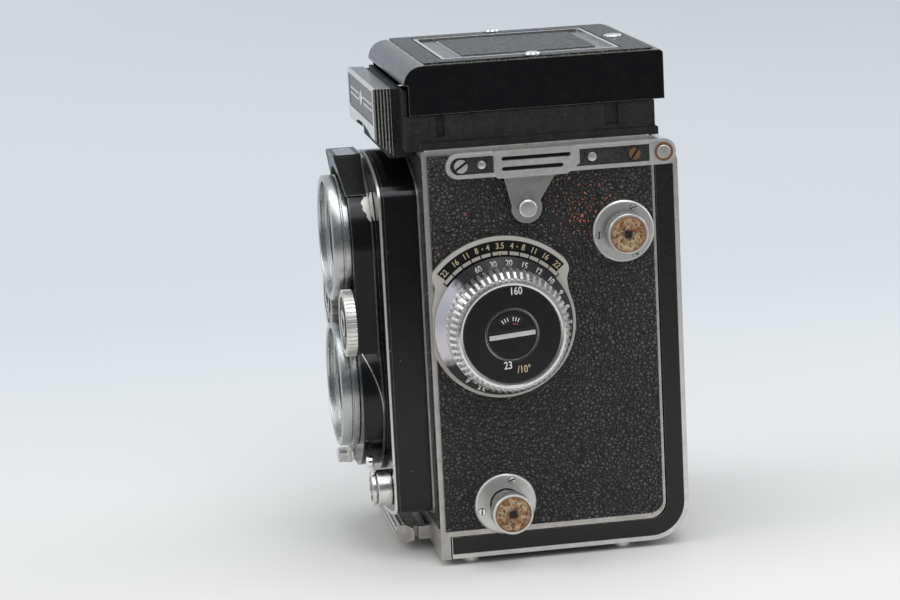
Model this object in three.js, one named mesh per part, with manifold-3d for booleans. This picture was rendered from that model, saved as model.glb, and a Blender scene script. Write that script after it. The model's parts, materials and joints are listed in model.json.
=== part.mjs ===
// A medium-format twin lens reflex camera, built as an assembly: body casting, hinged back with its
// bottom, sliding lens board, focus knob, winding crank and gears, spools, folding finder hood.
// Millimetres, +Z up. The lenses look along -Y, the focus knob is on +X, the crank on -X.
// x = 0 is mid-width, y = 0 mid-depth of the body, z = 0 the plane that the feet stand on.

import * as THREE from "three";
import { mergeVertices } from "three/addons/utils/BufferGeometryUtils.js";
import Module from "manifold-3d";

const wasm = await Module();
wasm.setup();

// ---------------------------------------------------------------- driving dimensions
const GAP = 0.3; // clearance between neighbouring pieces
const FOOT = 2; // height of the feet below the bottom plate; body heights below count from that plate

const BODY_HALF = 38; // half the width of the body
const FRONT = -38; // front face of the body casting
const REAR = 37; // rear face of the hinged back
const TOP = 121.4; // top of the body casting
const WALL = 2.2; // casting wall
const FRONT_WALL = 2.8; // front flange of the casting
const BAND = 6.85; // width of the back's edge seen from the side
const FRAME_REAR = REAR - BAND - 0.25; // rear edge of the casting's side
const CORNER = 5; // rear bottom corner of the casting's side

const LEATHER = 0.6; // thickness of the leather panels
const LEATHER_IN = BODY_HALF + 0.1; // inner face of a side panel
const LEATHER_OUT = LEATHER_IN + LEATHER;
const PLATE_IN = BODY_HALF + 0.25; // inner face of metal plates screwed to a side
const PLATE_OUT = 40; // their outer face

const HINGE = { y: 32.6, z: 116.8, r: 3.5 }; // hinge barrel of the back
const STRAP_Z = 116.8; // centre height of the strap strips
const STRAP_R = 3.75; // half their width
const UPPER_SPOOL = { y: 20, z: 94.3 };
const LOWER_SPOOL = { y: -18.5, z: 15.8 };
const SPOOL_R = 12.5; // flange radius of a roll-film spool
const SPOOL_HALF = 31.2; // half its length
const FLANGE_R = 9.1; // spool knob flanges
const FOCUS = { y: -16.8, z: 69.5 }; // focus knob axis
const KNOB_FACE = 54; // outermost face of the focus knob
const SCALE_R = 26.2; // depth-of-field scale sector
const SCALE_RING_R = 21.5; // round part of the same plate
const CRANK = { y: 2, z: 70 }; // crank axis
const CRANK_TEETH = 28;
const TAKE_UP_TEETH = 20;

const LENS_TOP = 92; // viewing lens axis
const LENS_BOTTOM = 47; // taking lens axis
const APRON_FRONT = -50; // front face of the lens board
const HOUSING_FRONT = -57.2; // front face of the twin lens housing
const BEZEL_FRONT = -62.6; // front rim of the two bezels
const BEZEL_R = 18.8;
const HOUSING_TOP_R = 21.5;
const HOUSING_BOTTOM_R = 25;
const WHEEL = { x: 18.8, z: 69.5, r: 9.9 }; // setting wheels between the lenses
const FLASH = { x: 22, z: 19.4 }; // flash socket
const RELEASE = { x: -22.5, z: 20 }; // shutter release
const GATE_HALF = 28; // half of the 56 mm film gate
const GATE_Y = 27; // film plane

const HOOD_HALF = 36; // half the width of the finder hood
const HOOD_FRONT = -42;
const HOOD_REAR = 31.2;
const HOOD_BASE_TOP = 131.5;
const LID_FRONT = -40.5;
const LID_REAR = 34.2;
const LID_TOP = 146;
const LID_BOTTOM = 131.8;
const LID_HINGE = { y: -42.3, z: 139.8 };
const PLATE_FRONT = -49.7; // front face of the name plate

const ROUND = 20; // segments of a full circle on visible pieces
const PLAIN = 12; // segments of small or hidden rounds

// ---------------------------------------------------------------- solids from three.js geometry
// A manifold solid from a closed geometry.
function solid(geometry) {
  const open = geometry.index ? geometry.toNonIndexed() : geometry.clone();
  open.deleteAttribute("normal");
  open.deleteAttribute("uv");
  const merged = mergeVertices(open, 1e-4);
  const index = merged.index.array;
  const triangles = [];
  for (let i = 0; i < index.length; i += 3) {
    const [a, b, c] = [index[i], index[i + 1], index[i + 2]];
    if (a !== b && b !== c && c !== a) triangles.push(a, b, c);
  }
  const mesh = new wasm.Mesh({
    numProp: 3,
    vertProperties: merged.attributes.position.array,
    triVerts: new Uint32Array(triangles),
  });
  mesh.merge();
  return new wasm.Manifold(mesh);
}

const X = new THREE.Vector3(1, 0, 0);
const Y = new THREE.Vector3(0, 1, 0);
const Z = new THREE.Vector3(0, 0, 1);

// Turns a geometry so that its own x, y and z run along the three directions given, then moves it.
function laid(geometry, u, v, w, place = [0, 0, 0]) {
  geometry.applyMatrix4(new THREE.Matrix4().makeBasis(u, v, w));
  geometry.translate(...place);
  return solid(geometry);
}

function join(first, ...rest) {
  return rest.reduce((sum, piece) => sum.add(piece), first);
}

function cut(first, ...rest) {
  return rest.reduce((left, piece) => left.subtract(piece), first);
}

function box([x0, x1], [y0, y1], [z0, z1]) {
  const geometry = new THREE.BoxGeometry(x1 - x0, y1 - y0, z1 - z0);
  geometry.translate((x0 + x1) / 2, (y0 + y1) / 2, (z0 + z1) / 2);
  return solid(geometry);
}

function outline(points) {
  return new THREE.Shape(points.map(([a, b]) => new THREE.Vector2(a, b)));
}

function extruded(shape, depth, curveSegments) {
  return new THREE.ExtrudeGeometry(shape, { depth, bevelEnabled: false, curveSegments });
}

// A plate whose outline is drawn in (y, z), from x0 to x1.
function plateX(shape, x0, x1, segments = 8) {
  return laid(extruded(shape, x1 - x0, segments), Y, Z, X, [x0, 0, 0]);
}

// A plate whose outline is drawn in (x, z), from y0 to y1.
function plateY(shape, y0, y1, segments = 8) {
  return laid(extruded(shape, y1 - y0, segments), X, Z, Y.clone().negate(), [0, y1, 0]);
}

// A plate whose outline is drawn in (x, y), from z0 to z1.
function plateZ(shape, z0, z1, segments = 8) {
  return laid(extruded(shape, z1 - z0, segments), X, Y, Z, [0, 0, z0]);
}

function discX({ y, z }, r, [x0, x1], segments = ROUND) {
  const geometry = new THREE.CylinderGeometry(r, r, x1 - x0, segments);
  return laid(geometry, Y, X, Z.clone().negate(), [(x0 + x1) / 2, y, z]);
}

function discY({ x, z }, r, [y0, y1], segments = ROUND) {
  const geometry = new THREE.CylinderGeometry(r, r, y1 - y0, segments);
  return laid(geometry, X, Y, Z, [x, (y0 + y1) / 2, z]);
}

function discZ({ x, y }, r, [z0, z1], segments = ROUND) {
  const geometry = new THREE.CylinderGeometry(r, r, z1 - z0, segments);
  return laid(geometry, X, Z, Y.clone().negate(), [x, y, (z0 + z1) / 2]);
}

// A turned piece. The profile lists [radius, height] and either closes on itself or ends on the axis.
function turned(profile, segments) {
  let area = 0;
  profile.forEach(([r, h], i) => {
    const [s, g] = profile[(i + 1) % profile.length];
    area += r * g - s * h;
  });
  const onAxis = profile[0][0] === 0 && profile.at(-1)[0] === 0;
  const ring = onAxis ? [...profile] : [...profile, profile[0]];
  if (area < 0) ring.reverse();
  return new THREE.LatheGeometry(ring.map(([r, h]) => new THREE.Vector2(r, h)), segments);
}

function turnedX({ y, z }, profile, segments = ROUND) {
  return laid(turned(profile, segments), Y, X, Z.clone().negate(), [0, y, z]);
}

function turnedY({ x, z }, profile, segments = ROUND) {
  return laid(turned(profile, segments), X, Y, Z, [x, 0, z]);
}

function turnedZ({ x, y }, profile, segments = ROUND) {
  return laid(turned(profile, segments), X, Z, Y.clone().negate(), [x, y, 0]);
}

// A closed rectangular profile for a ring between two radii.
function ringProfile(r0, r1, [h0, h1]) {
  return [[r0, h0], [r1, h0], [r1, h1], [r0, h1]];
}

// A round outline with teeth: each tooth rises from the root radius to the tip radius.
function toothed(teeth, rootR, tipR, rootShare, tipShare, phase = 0) {
  const points = [];
  for (let i = 0; i < teeth; i++) {
    const middle = ((i + phase) / teeth) * 2 * Math.PI;
    const pitch = (2 * Math.PI) / teeth;
    for (const [r, share] of [[rootR, -rootShare], [tipR, -tipShare], [tipR, tipShare], [rootR, rootShare]]) {
      const a = middle + (share * pitch) / 2;
      points.push([r * Math.cos(a), r * Math.sin(a)]);
    }
  }
  return points;
}

// A knurled outline: one ridge and one groove per tooth.
function knurled(teeth, grooveR, ridgeR) {
  const points = [];
  for (let i = 0; i < 2 * teeth; i++) {
    const a = (i * Math.PI) / teeth;
    const r = i % 2 ? grooveR : ridgeR;
    points.push([r * Math.cos(a), r * Math.sin(a)]);
  }
  return points;
}

function movedOutline(points, du, dv) {
  return outline(points.map(([u, v]) => [u + du, v + dv]));
}

// A stadium outline: a bar of half-width r between two end centres on one height.
function stadium(u0, u1, v, r) {
  const shape = new THREE.Shape();
  shape.absarc(u1, v, r, -Math.PI / 2, Math.PI / 2, false);
  shape.absarc(u0, v, r, Math.PI / 2, (3 * Math.PI) / 2, false);
  return shape;
}

// A rectangle outline with rounded corners.
function roundedRectangle(u0, u1, v0, v1, r) {
  const shape = new THREE.Shape();
  shape.absarc(u1 - r, v0 + r, r, -Math.PI / 2, 0, false);
  shape.absarc(u1 - r, v1 - r, r, 0, Math.PI / 2, false);
  shape.absarc(u0 + r, v1 - r, r, Math.PI / 2, Math.PI, false);
  shape.absarc(u0 + r, v0 + r, r, Math.PI, (3 * Math.PI) / 2, false);
  return shape;
}

// ---------------------------------------------------------------- materials
function material(color, roughness, metalness, opacity = 1) {
  return new THREE.MeshStandardMaterial({
    color, roughness, metalness, opacity, transparent: opacity < 1,
  });
}

const BLACK_ENAMEL = ["#0e0f10", 0.28, 0];
const WRINKLE_BLACK = ["#1a1b1c", 0.8, 0];
const INNER_BLACK = ["#161616", 0.9, 0];
const BLACK_LEATHER = ["#1b1b1b", 0.55, 0];
const CHROME = ["#d4d6d8", 0.12, 1];
const SATIN_METAL = ["#b9bab8", 0.35, 1];
const WARM_METAL = ["#b5aea2", 0.4, 1];
const BRASS = ["#b08d4f", 0.4, 1];
const GLASS = ["#8fa0b8", 0.05, 0, 0.4];

const group = new THREE.Group();
const camera = new THREE.Group();
camera.position.z = FOOT;
group.add(camera);

// Adds a finished solid to the camera as a named mesh.
function piece(name, made, look) {
  const data = made.getMesh();
  const stride = data.numProp;
  const position = new Float32Array(data.numVert * 3);
  for (let i = 0; i < data.numVert; i++) {
    position.set(data.vertProperties.subarray(i * stride, i * stride + 3), i * 3);
  }
  const geometry = new THREE.BufferGeometry();
  geometry.setAttribute("position", new THREE.BufferAttribute(position, 3));
  geometry.setIndex(new THREE.BufferAttribute(new Uint32Array(data.triVerts), 1));
  const mesh = new THREE.Mesh(geometry, material(...look));
  mesh.name = name;
  camera.add(mesh);
  return mesh;
}

// ---------------------------------------------------------------- body casting
function bodyCasting() {
  const side = new THREE.Shape();
  side.moveTo(FRONT, 0);
  side.lineTo(FRONT + FRONT_WALL - 0.1, 0);
  side.lineTo(FRONT + FRONT_WALL - 0.1, BAND);
  side.lineTo(FRAME_REAR - CORNER, BAND);
  side.absarc(FRAME_REAR - CORNER, BAND + CORNER, CORNER, -Math.PI / 2, 0, false);
  side.lineTo(FRAME_REAR, TOP);
  side.lineTo(FRONT, TOP);
  const block = plateX(side, -BODY_HALF, BODY_HALF, 6);
  const hollowHalf = BODY_HALF - WALL;
  const hollow = box([-hollowHalf, hollowHalf], [FRONT + FRONT_WALL, 60], [-9, TOP - 3.4]);
  const barrelSeat = discX(HINGE, HINGE.r + 0.4, [-60, 60]);
  const lensHoles = [LENS_TOP, LENS_BOTTOM].map((z) => discY({ x: 0, z }, 18, [-60, -30]));
  const screenSeat = box([-29, 29], [-31, 27], [TOP - 2.2, 200]);
  const screenLight = box([-27, 27], [-29, 25], [100, 200]);
  const knobBores = [
    discX(UPPER_SPOOL, 4.7, [30, 60], PLAIN),
    discX(LOWER_SPOOL, 4.7, [30, 60], PLAIN),
    discX(FOCUS, 3, [30, 60], PLAIN),
    discX(CRANK, 3.4, [-60, -30], PLAIN),
  ];
  const guideSlots = [-1, 1].map((s) =>
    box([s * 25.5 - 2.1, s * 25.5 + 2.1], [-60, -30], [54.4, 60.6]));
  // The light collar that the lens board slides over.
  const collar = cut(
    box([-28.8, 28.8], [-44.5, FRONT + 1], [16, 107]),
    box([-27.6, 27.6], [-60, FRONT], [17.2, 105.8]),
  );
  const spoolPin = discX(LOWER_SPOOL, 2.6, [-hollowHalf - 1, -28], PLAIN);
  // Lugs and pin that carry the latch lever below the lens board.
  const lugs = [-1, 1].map((s) => box([s * 15.8 - 0.8, s * 15.8 + 0.8], [-41.6, FRONT + 0.5], [0.8, 4.8]));
  const latchPin = discX({ y: -40.1, z: 2.8 }, 0.8, [-16.2, 16.2], 12);
  return join(
    cut(block, hollow, barrelSeat, ...lensHoles, screenSeat, screenLight, ...knobBores, ...guideSlots),
    cut(collar, ...lensHoles, ...guideSlots),
    spoolPin, ...lugs, latchPin,
  );
}

piece("body_casting", bodyCasting(), WARM_METAL);

// ---------------------------------------------------------------- strap fittings on both sides
const STRIP_FRONT = -27.6; // centre of the strip's front end

// Screw and rivet heads on the strip: [y, radius].
const STRIP_HEADS = [[-27, 1.9], [-20.9, 1.2], [11.5, 1.3], [24, 1.8]];

// One strip with its bridge, riveted on, for the +X side.
function strapStrip() {
  const bar = plateX(stadium(STRIP_FRONT, HINGE.y, STRAP_Z, STRAP_R), PLATE_IN + 0.1, 39.7, 6);
  const inset = plateX(stadium(STRIP_FRONT, 26.5, STRAP_Z, STRAP_R - 1.3), 39.2, 45, 5);
  const squareEnd = box([39.2, 45], [24, 29], [STRAP_Z - STRAP_R + 1.3, STRAP_Z + STRAP_R - 1.3]);
  const heads = STRIP_HEADS.map(([y, r]) => discX({ y, z: STRAP_Z }, r, [39, 40], 10));
  const hingeRing = turnedX(HINGE, ringProfile(2.1, 2.9, [39.5, 40.1]), 16);
  const hingeScrew = discX(HINGE, 1.9, [39.5, 40.4], 16);
  const hingeShank = discX(HINGE, 1.1, [36.2, 39], 10);
  const bridge = new THREE.Shape();
  bridge.moveTo(-16.4, STRAP_Z - 4);
  bridge.lineTo(4, STRAP_Z - 4);
  bridge.lineTo(7.6, STRAP_Z - 1);
  bridge.lineTo(7.6, STRAP_Z + 3.4);
  bridge.lineTo(6.8, STRAP_Z + 4);
  bridge.lineTo(-17.6, STRAP_Z + 4);
  bridge.lineTo(-17.6, STRAP_Z - 2.6);
  const slots = [[-14.6, 4, 1.5], [-14.6, 2, -1.3]].map(([y0, y1, dz]) =>
    plateX(stadium(y0, y1, STRAP_Z + dz, 0.62), 39.8, 45, 3));
  const bridgePlate = cut(plateX(bridge, 39.2, 41.6), ...slots);
  return join(cut(bar, inset, squareEnd), ...heads, hingeRing, hingeScrew, hingeShank, bridgePlate);
}

// The spring tongue below the bridge, with the stud that a strap end snaps over.
function strapSpring() {
  const tip = { y: -8.3, z: 103.4 };
  const shape = new THREE.Shape();
  shape.moveTo(0.4, STRAP_Z - 4.3);
  shape.lineTo(-14.6, STRAP_Z - 4.3);
  shape.lineTo(-12.7, 104.4);
  shape.absarc(tip.y, tip.z, 4.5, Math.PI - 0.22, 2 * Math.PI + 0.45, false);
  const plate = plateX(shape, LEATHER_OUT + 0.15, LEATHER_OUT + 0.95, 10);
  const stud = turnedX(tip, [[0, 39], [1.9, 39], [1.9, 40.6], [3, 40.9], [3, 41.7], [2.6, 42.1], [0, 42.1]], 20);
  return join(plate, stud);
}

const strip = strapStrip();
const spring = strapSpring();
piece("strap_strip_left", strip, CHROME);
piece("strap_strip_right", strip.mirror([1, 0, 0]), CHROME);
piece("strap_spring_left", spring, SATIN_METAL);
piece("strap_spring_right", spring.mirror([1, 0, 0]), SATIN_METAL);

// ---------------------------------------------------------------- plates and leather on the sides
// The scale plate round the focus knob: a wide sector above, a ring below, trimmed at the body's edge.
function scalePlate() {
  const half = Math.PI / 4;
  const shape = new THREE.Shape();
  shape.absarc(FOCUS.y, FOCUS.z, SCALE_R, Math.PI / 2 - half, Math.PI / 2 + half, false);
  shape.absarc(FOCUS.y, FOCUS.z, SCALE_RING_R, Math.PI / 2 + 1.35 * half, 2.5 * Math.PI - 1.35 * half, false);
  const plate = plateX(shape, PLATE_IN, PLATE_OUT, 14);
  const bore = discX(FOCUS, 4, [30, 60], PLAIN);
  const edge = box([30, 60], [-80, FRONT + 0.8], [0, 120]);
  return cut(plate, bore, edge);
}

// A round flange with three countersunk screws round a spool knob.
function spoolFlange(at) {
  const disc = turnedX(at, [
    [4.7, PLATE_IN], [FLANGE_R, PLATE_IN], [FLANGE_R, 39.2], [FLANGE_R - 0.7, PLATE_OUT], [4.7, PLATE_OUT],
  ]);
  const wells = [0.9, 3, 5.1].map((angle) =>
    discX({ y: at.y + 7 * Math.sin(angle), z: at.z + 7 * Math.cos(angle) }, 1.35, [39.6, 41], 8));
  return cut(disc, ...wells);
}

function sideOutline() {
  const shape = new THREE.Shape();
  const [front, rear, low, high] = [FRONT + 1.5, FRAME_REAR - 0.9, BAND + 1.75, TOP - 1.4];
  shape.moveTo(front, low);
  shape.lineTo(rear - 4, low);
  shape.absarc(rear - 4, low + 4, 4, -Math.PI / 2, 0, false);
  shape.lineTo(rear, high);
  shape.lineTo(front, high);
  return shape;
}

// Room for the strap strip in a leather panel.
function stripRoom() {
  return plateX(stadium(STRIP_FRONT, 60, STRAP_Z, STRAP_R + GAP), 30, 60, 10);
}

const dofPlate = scalePlate();
piece("depth_of_field_plate", dofPlate, SATIN_METAL);
piece("upper_spool_flange", spoolFlange(UPPER_SPOOL), SATIN_METAL);
piece("lower_spool_flange", spoolFlange(LOWER_SPOOL), SATIN_METAL);

function leftLeather() {
  const grown = new THREE.Shape();
  grown.absarc(FOCUS.y, FOCUS.z, SCALE_R + GAP, 0.2 * Math.PI, 0.8 * Math.PI, false);
  grown.absarc(FOCUS.y, FOCUS.z, SCALE_RING_R + GAP, 0.86 * Math.PI, 2.14 * Math.PI, false);
  return cut(
    plateX(sideOutline(), LEATHER_IN, LEATHER_OUT, 6),
    stripRoom(),
    plateX(grown, 30, 60, 14),
    discX(UPPER_SPOOL, FLANGE_R + GAP, [30, 60]),
    discX(LOWER_SPOOL, FLANGE_R + GAP, [30, 60]),
  );
}

const CRANK_FLANGE_R = 14;
const COUNTER = { y: -21, z: 95 }; // frame counter window on the crank side

function rightLeather() {
  return cut(
    plateX(sideOutline(), LEATHER_IN, LEATHER_OUT, 6),
    stripRoom(),
    discX(CRANK, CRANK_FLANGE_R + GAP, [30, 60]),
    discX(COUNTER, 5.8 + GAP, [30, 60]),
  ).mirror([1, 0, 0]);
}

piece("left_leather", leftLeather(), BLACK_LEATHER);
piece("right_leather", rightLeather(), BLACK_LEATHER);

piece("crank_flange", cut(
  turnedX(CRANK, [
    [3.4, -PLATE_IN], [CRANK_FLANGE_R, -PLATE_IN], [CRANK_FLANGE_R, -39.3], [CRANK_FLANGE_R - 1, -PLATE_OUT],
    [3.4, -PLATE_OUT],
  ]),
  turnedX(CRANK, ringProfile(9.2, 12, [-41, -39.6])),
), SATIN_METAL);

piece("counter_window", cut(
  turnedX(COUNTER, [[0, -PLATE_IN], [5.8, -PLATE_IN], [5.8, -39.4], [5.2, -39.9], [0, -39.9]]),
  discX(COUNTER, 3.8, [-41, -39.4], PLAIN),
), CHROME);

// ---------------------------------------------------------------- film path and reflex finder
// Side plates of the dark chamber joined by the film gate. They clear both spools and the mirror.
function filmGate() {
  const cheek = outline([
    [-34.9, 31], [-34.9, 117.6], [24.2, 117.6], [-12.8, 78.2], [25.6, 78.2], [25.6, 18.5], [-4, 18.5],
    [-8.5, 26.5], [-18.5, 30],
  ]);
  const cheeks = [-31, 30].map((x) => cut(plateX(cheek, x, x + 1), discX(FOCUS, 2.8, [x - 1, x + 2], PLAIN)));
  const gatePlate = cut(
    box([-31.6, 31.6], [25.3, GATE_Y], [15.5, 78]),
    box([-GATE_HALF, GATE_HALF], [20, 30], [LENS_BOTTOM - GATE_HALF, LENS_BOTTOM + GATE_HALF]),
  );
  const rails = [-1, 1].map((s) => box([s * 29.6 - 0.8, s * 29.6 + 0.8], [GATE_Y - 0.4, GATE_Y + 0.4], [15.5, 78]));
  return join(gatePlate, ...cheeks, ...rails);
}

piece("film_gate", filmGate(), INNER_BLACK);

const ROLLER_R = 2.2;
const UPPER_ROLLER = { y: GATE_Y, z: 80.9 };
const LOWER_ROLLER = { y: GATE_Y, z: 12.6 };

function filmRoller(at) {
  return turnedX(at, [
    [0, -32.4], [1, -32.4], [1, -30.8], [ROLLER_R, -30.8], [ROLLER_R, 30.8], [1, 30.8], [1, 32.4], [0, 32.4],
  ], PLAIN);
}

piece("upper_film_roller", filmRoller(UPPER_ROLLER), SATIN_METAL);
piece("lower_film_roller", filmRoller(LOWER_ROLLER), SATIN_METAL);

const MIRROR_OFFSET = 94; // the mirror's face lies on z = y + 94

// The mirror is narrower at its lower end, where the lens board's guide bars pass on both sides.
function mirror() {
  const thick = 1.2;
  const geometry = extruded(outline([[-21.5, -36], [21.5, -36], [27, 36], [-27, 36]]), thick);
  geometry.translate(0, 0, -thick);
  geometry.rotateX(Math.PI / 4);
  const y = -3.4;
  geometry.translate(0, y, y + MIRROR_OFFSET);
  return solid(geometry);
}

piece("reflex_mirror", mirror(), CHROME);
piece("focusing_screen", box([-28.7, 28.7], [-30.7, 26.7], [TOP - 2.1, TOP - 0.5]), GLASS);

// A roll-film spool: core, two flanges and a drive hole in each end.
function spool(at) {
  const side = [[5.5, 30.2], [SPOOL_R, 30.2], [SPOOL_R, SPOOL_HALF], [3, SPOOL_HALF], [3, 26], [0, 26]];
  const mirrored = side.map(([r, x]) => [r, -x]).reverse();
  return turnedX(at, [...mirrored, ...side], 16);
}

piece("supply_spool", spool(LOWER_SPOOL), WRINKLE_BLACK);
piece("take_up_spool", spool(UPPER_SPOOL), WRINKLE_BLACK);

// ---------------------------------------------------------------- winding gears and crank
const GEAR_SPAN = [-35.4, -32.4];
const gearDistance = Math.hypot(UPPER_SPOOL.y - CRANK.y, UPPER_SPOOL.z - CRANK.z);
const GEAR_MODULE = (2 * gearDistance) / (CRANK_TEETH + TAKE_UP_TEETH);
const GEAR_LINE = Math.atan2(UPPER_SPOOL.z - CRANK.z, UPPER_SPOOL.y - CRANK.y);

// A spur gear whose tooth number zero points along the given angle, or whose gap does.
function gear(at, teeth, towards, gapFirst) {
  const pitchR = (GEAR_MODULE * teeth) / 2;
  const points = toothed(teeth, pitchR - 1.3 * GEAR_MODULE, pitchR + 0.85 * GEAR_MODULE, 0.62, 0.24,
    gapFirst ? 0.5 : 0);
  const [c, s] = [Math.cos(towards), Math.sin(towards)];
  const faced = points.map(([u, v]) => [u * c - v * s, u * s + v * c]);
  return plateX(movedOutline(faced, at.y, at.z), ...GEAR_SPAN);
}

piece("take_up_gear", join(
  gear(UPPER_SPOOL, TAKE_UP_TEETH, GEAR_LINE + Math.PI, true),
  discX(UPPER_SPOOL, 2.6, [-33, -28], PLAIN),
), BRASS);

const FOLD = { x: -47.2, z: CRANK.z - 6 }; // pin that the crank arm folds on
const ARM_HALF = 3.3; // half the arm's width
const GRIP = { y: CRANK.y, z: CRANK.z - 28 };

function crankHub() {
  const hub = turnedX(CRANK, [
    [0, -45], [7.2, -45], [8, -44.2], [8, -40.4], [3, -40.4], [3, -32.6], [0, -32.6],
  ]);
  const lugs = [-1, 1].map((s) => box(
    [FOLD.x - 1.7, -44.5],
    [CRANK.y + s * 4.4 - 0.8, CRANK.y + s * 4.4 + 0.8],
    [FOLD.z - 1.9, FOLD.z + 1.9],
  ));
  const pin = new THREE.CylinderGeometry(0.9, 0.9, 9.6, 12);
  pin.translate(FOLD.x, CRANK.y, FOLD.z);
  return join(hub, gear(CRANK, CRANK_TEETH, GEAR_LINE, false), ...lugs, solid(pin));
}

piece("crank_hub", crankHub(), SATIN_METAL);

// The arm hangs from the fold pin and ends in a round eye for the grip.
function crankArm() {
  const shape = new THREE.Shape();
  shape.absarc(CRANK.y, FOLD.z, ARM_HALF, 0.15, Math.PI - 0.15, false);
  shape.lineTo(CRANK.y - 2.6, FOLD.z - 4);
  shape.lineTo(CRANK.y - 2.6, GRIP.z + 4);
  shape.absarc(CRANK.y, GRIP.z, 4.4, Math.PI - 0.8, 2 * Math.PI + 0.8, false);
  shape.lineTo(CRANK.y + 2.6, FOLD.z - 4);
  const blade = plateX(shape, FOLD.x - 1.2, FOLD.x + 1.2, 6);
  const eye = new THREE.CylinderGeometry(1.2, 1.2, 12, 12);
  eye.translate(FOLD.x, CRANK.y, FOLD.z);
  const knuckle = new THREE.CylinderGeometry(1.9, 1.9, 2 * ARM_HALF, 16);
  knuckle.translate(FOLD.x, CRANK.y, FOLD.z);
  const trimmed = cut(blade, box([-60, 0], [-40, 40], [FOLD.z, FOLD.z + 9]));
  return cut(join(trimmed, solid(knuckle)), solid(eye), discX(GRIP, 1.6, [-60, -40], 16));
}

piece("crank_arm", crankArm(), CHROME);
const ARM_FACE = 1.2; // half the arm's thickness
piece("crank_grip", turnedX(GRIP, [
  [0, FOLD.x - ARM_FACE - 0.9], [2.3, FOLD.x - ARM_FACE - 0.9], [2.3, FOLD.x - ARM_FACE - GAP],
  [1.25, FOLD.x - ARM_FACE - GAP], [1.25, FOLD.x + ARM_FACE + GAP], [3.2, FOLD.x + ARM_FACE + GAP],
  [3.2, -40.6], [2.8, -40.2], [0, -40.2],
], PLAIN), CHROME);

// ---------------------------------------------------------------- spool knobs
// Knurled pull knob on a plain shaft whose tip enters the spool. `out` shifts it along +X.
function spoolKnob(at, out, length) {
  const shaft = turnedX(at, [
    [0, 28.6], [2.6, 28.6], [2.6, 33], [4.3, 33], [4.3, 40.5], [5.2, 40.5], [5.2, 40.6 + length - 1],
    [4.2, 40.6 + length], [0, 40.6 + length],
  ], 16);
  const grip = plateX(
    movedOutline(knurled(14, 5.7, 6.2), at.y, at.z),
    40.6 + length - 4.6, 40.6 + length - 1.2,
  );
  const socket = discX(at, 1.1, [40 + length - 1, 60], 4);
  return cut(join(shaft, grip), socket).translate([out, 0, 0]);
}

const LOWER_KNOB_OUT = 5.5; // the lower knob is at rest pulled out
piece("upper_spool_knob", spoolKnob(UPPER_SPOOL, 0, 5), SATIN_METAL);
piece("lower_spool_knob", spoolKnob(LOWER_SPOOL, LOWER_KNOB_OUT, 5.4), SATIN_METAL);

// ---------------------------------------------------------------- focus drive
const KNURL_R = 17.8;
const DIAL_R = 14.2;
const DISC_R = 7.6;

function focusKnob() {
  const base = turnedX(FOCUS, [
    [0, 40.4], [19.6, 40.4], [19.9, 41], [19.4, 42], [17, 42.6], [17, 50], [16, KNOB_FACE - 0.9],
    [15.5, KNOB_FACE], [DIAL_R + 0.3, KNOB_FACE], [DIAL_R + 0.3, 52.3], [0, 52.3],
  ]);
  const knurl = plateX(movedOutline(knurled(36, 16.9, KNURL_R), FOCUS.y, FOCUS.z), 43.6, 52.2);
  const shaftBore = discX(FOCUS, 2.7, [30, 45], PLAIN);
  return cut(join(base, knurl), shaftBore);
}

piece("focus_knob", focusKnob(), CHROME);

// The dial carries two windows through which the film-speed disc would be read.
function focusDial() {
  const ring = turnedX(FOCUS, ringProfile(DISC_R + 0.3, DIAL_R, [52.6, 53.6]));
  const windows = [9.2, -12.2].map((dz) => box([53.2, 60], [FOCUS.y - 3.4, FOCUS.y + 3.4], [FOCUS.z + dz, FOCUS.z + dz + 2.8]));
  return cut(ring, ...windows);
}

piece("focus_dial", focusDial(), BLACK_ENAMEL);
piece("film_speed_disc", join(
  turnedX(FOCUS, [[0, 52.6], [DISC_R, 52.6], [DISC_R, 53.3], [0, 53.3]]),
  box([53, 53.9], [FOCUS.y - 6.4, FOCUS.y + 6.4], [FOCUS.z - 0.75, FOCUS.z + 0.75]),
), BLACK_ENAMEL);

const GUIDE_X = 25.5; // cams on the focus shaft and guide bars of the lens board
const CAM_R = 3.7;
const FOLLOWER_Y = FOCUS.y - CAM_R - GAP; // rear face of the bars' followers
piece("focus_shaft", join(
  discX(FOCUS, 2.4, [-31.6, 44.6], PLAIN),
  ...[-1, 1].map((s) => discX(FOCUS, CAM_R, [s * GUIDE_X - 1.5, s * GUIDE_X + 1.5], 16)),
), SATIN_METAL);

// ---------------------------------------------------------------- lens board
// Front outline of the lens board: slightly bowed top and bottom, rounded at the corners.
function apronOutline(inset = 0) {
  const half = 30.6 - inset;
  const low = 12.6 + inset;
  const high = 110.4 - inset;
  const shape = new THREE.Shape();
  shape.moveTo(-half + 2.5, low);
  shape.quadraticCurveTo(0, low - 7.6, half - 2.5, low);
  shape.quadraticCurveTo(half, low + 0.6, half, low + 4);
  shape.lineTo(half, high - 5);
  shape.quadraticCurveTo(half, high, half - 6, high + 2);
  shape.quadraticCurveTo(0, high + 11.5, -half + 6, high + 2);
  shape.quadraticCurveTo(-half, high, -half, high - 5);
  shape.lineTo(-half, low + 4);
  shape.quadraticCurveTo(-half, low + 0.6, -half + 2.5, low);
  return shape;
}

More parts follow.
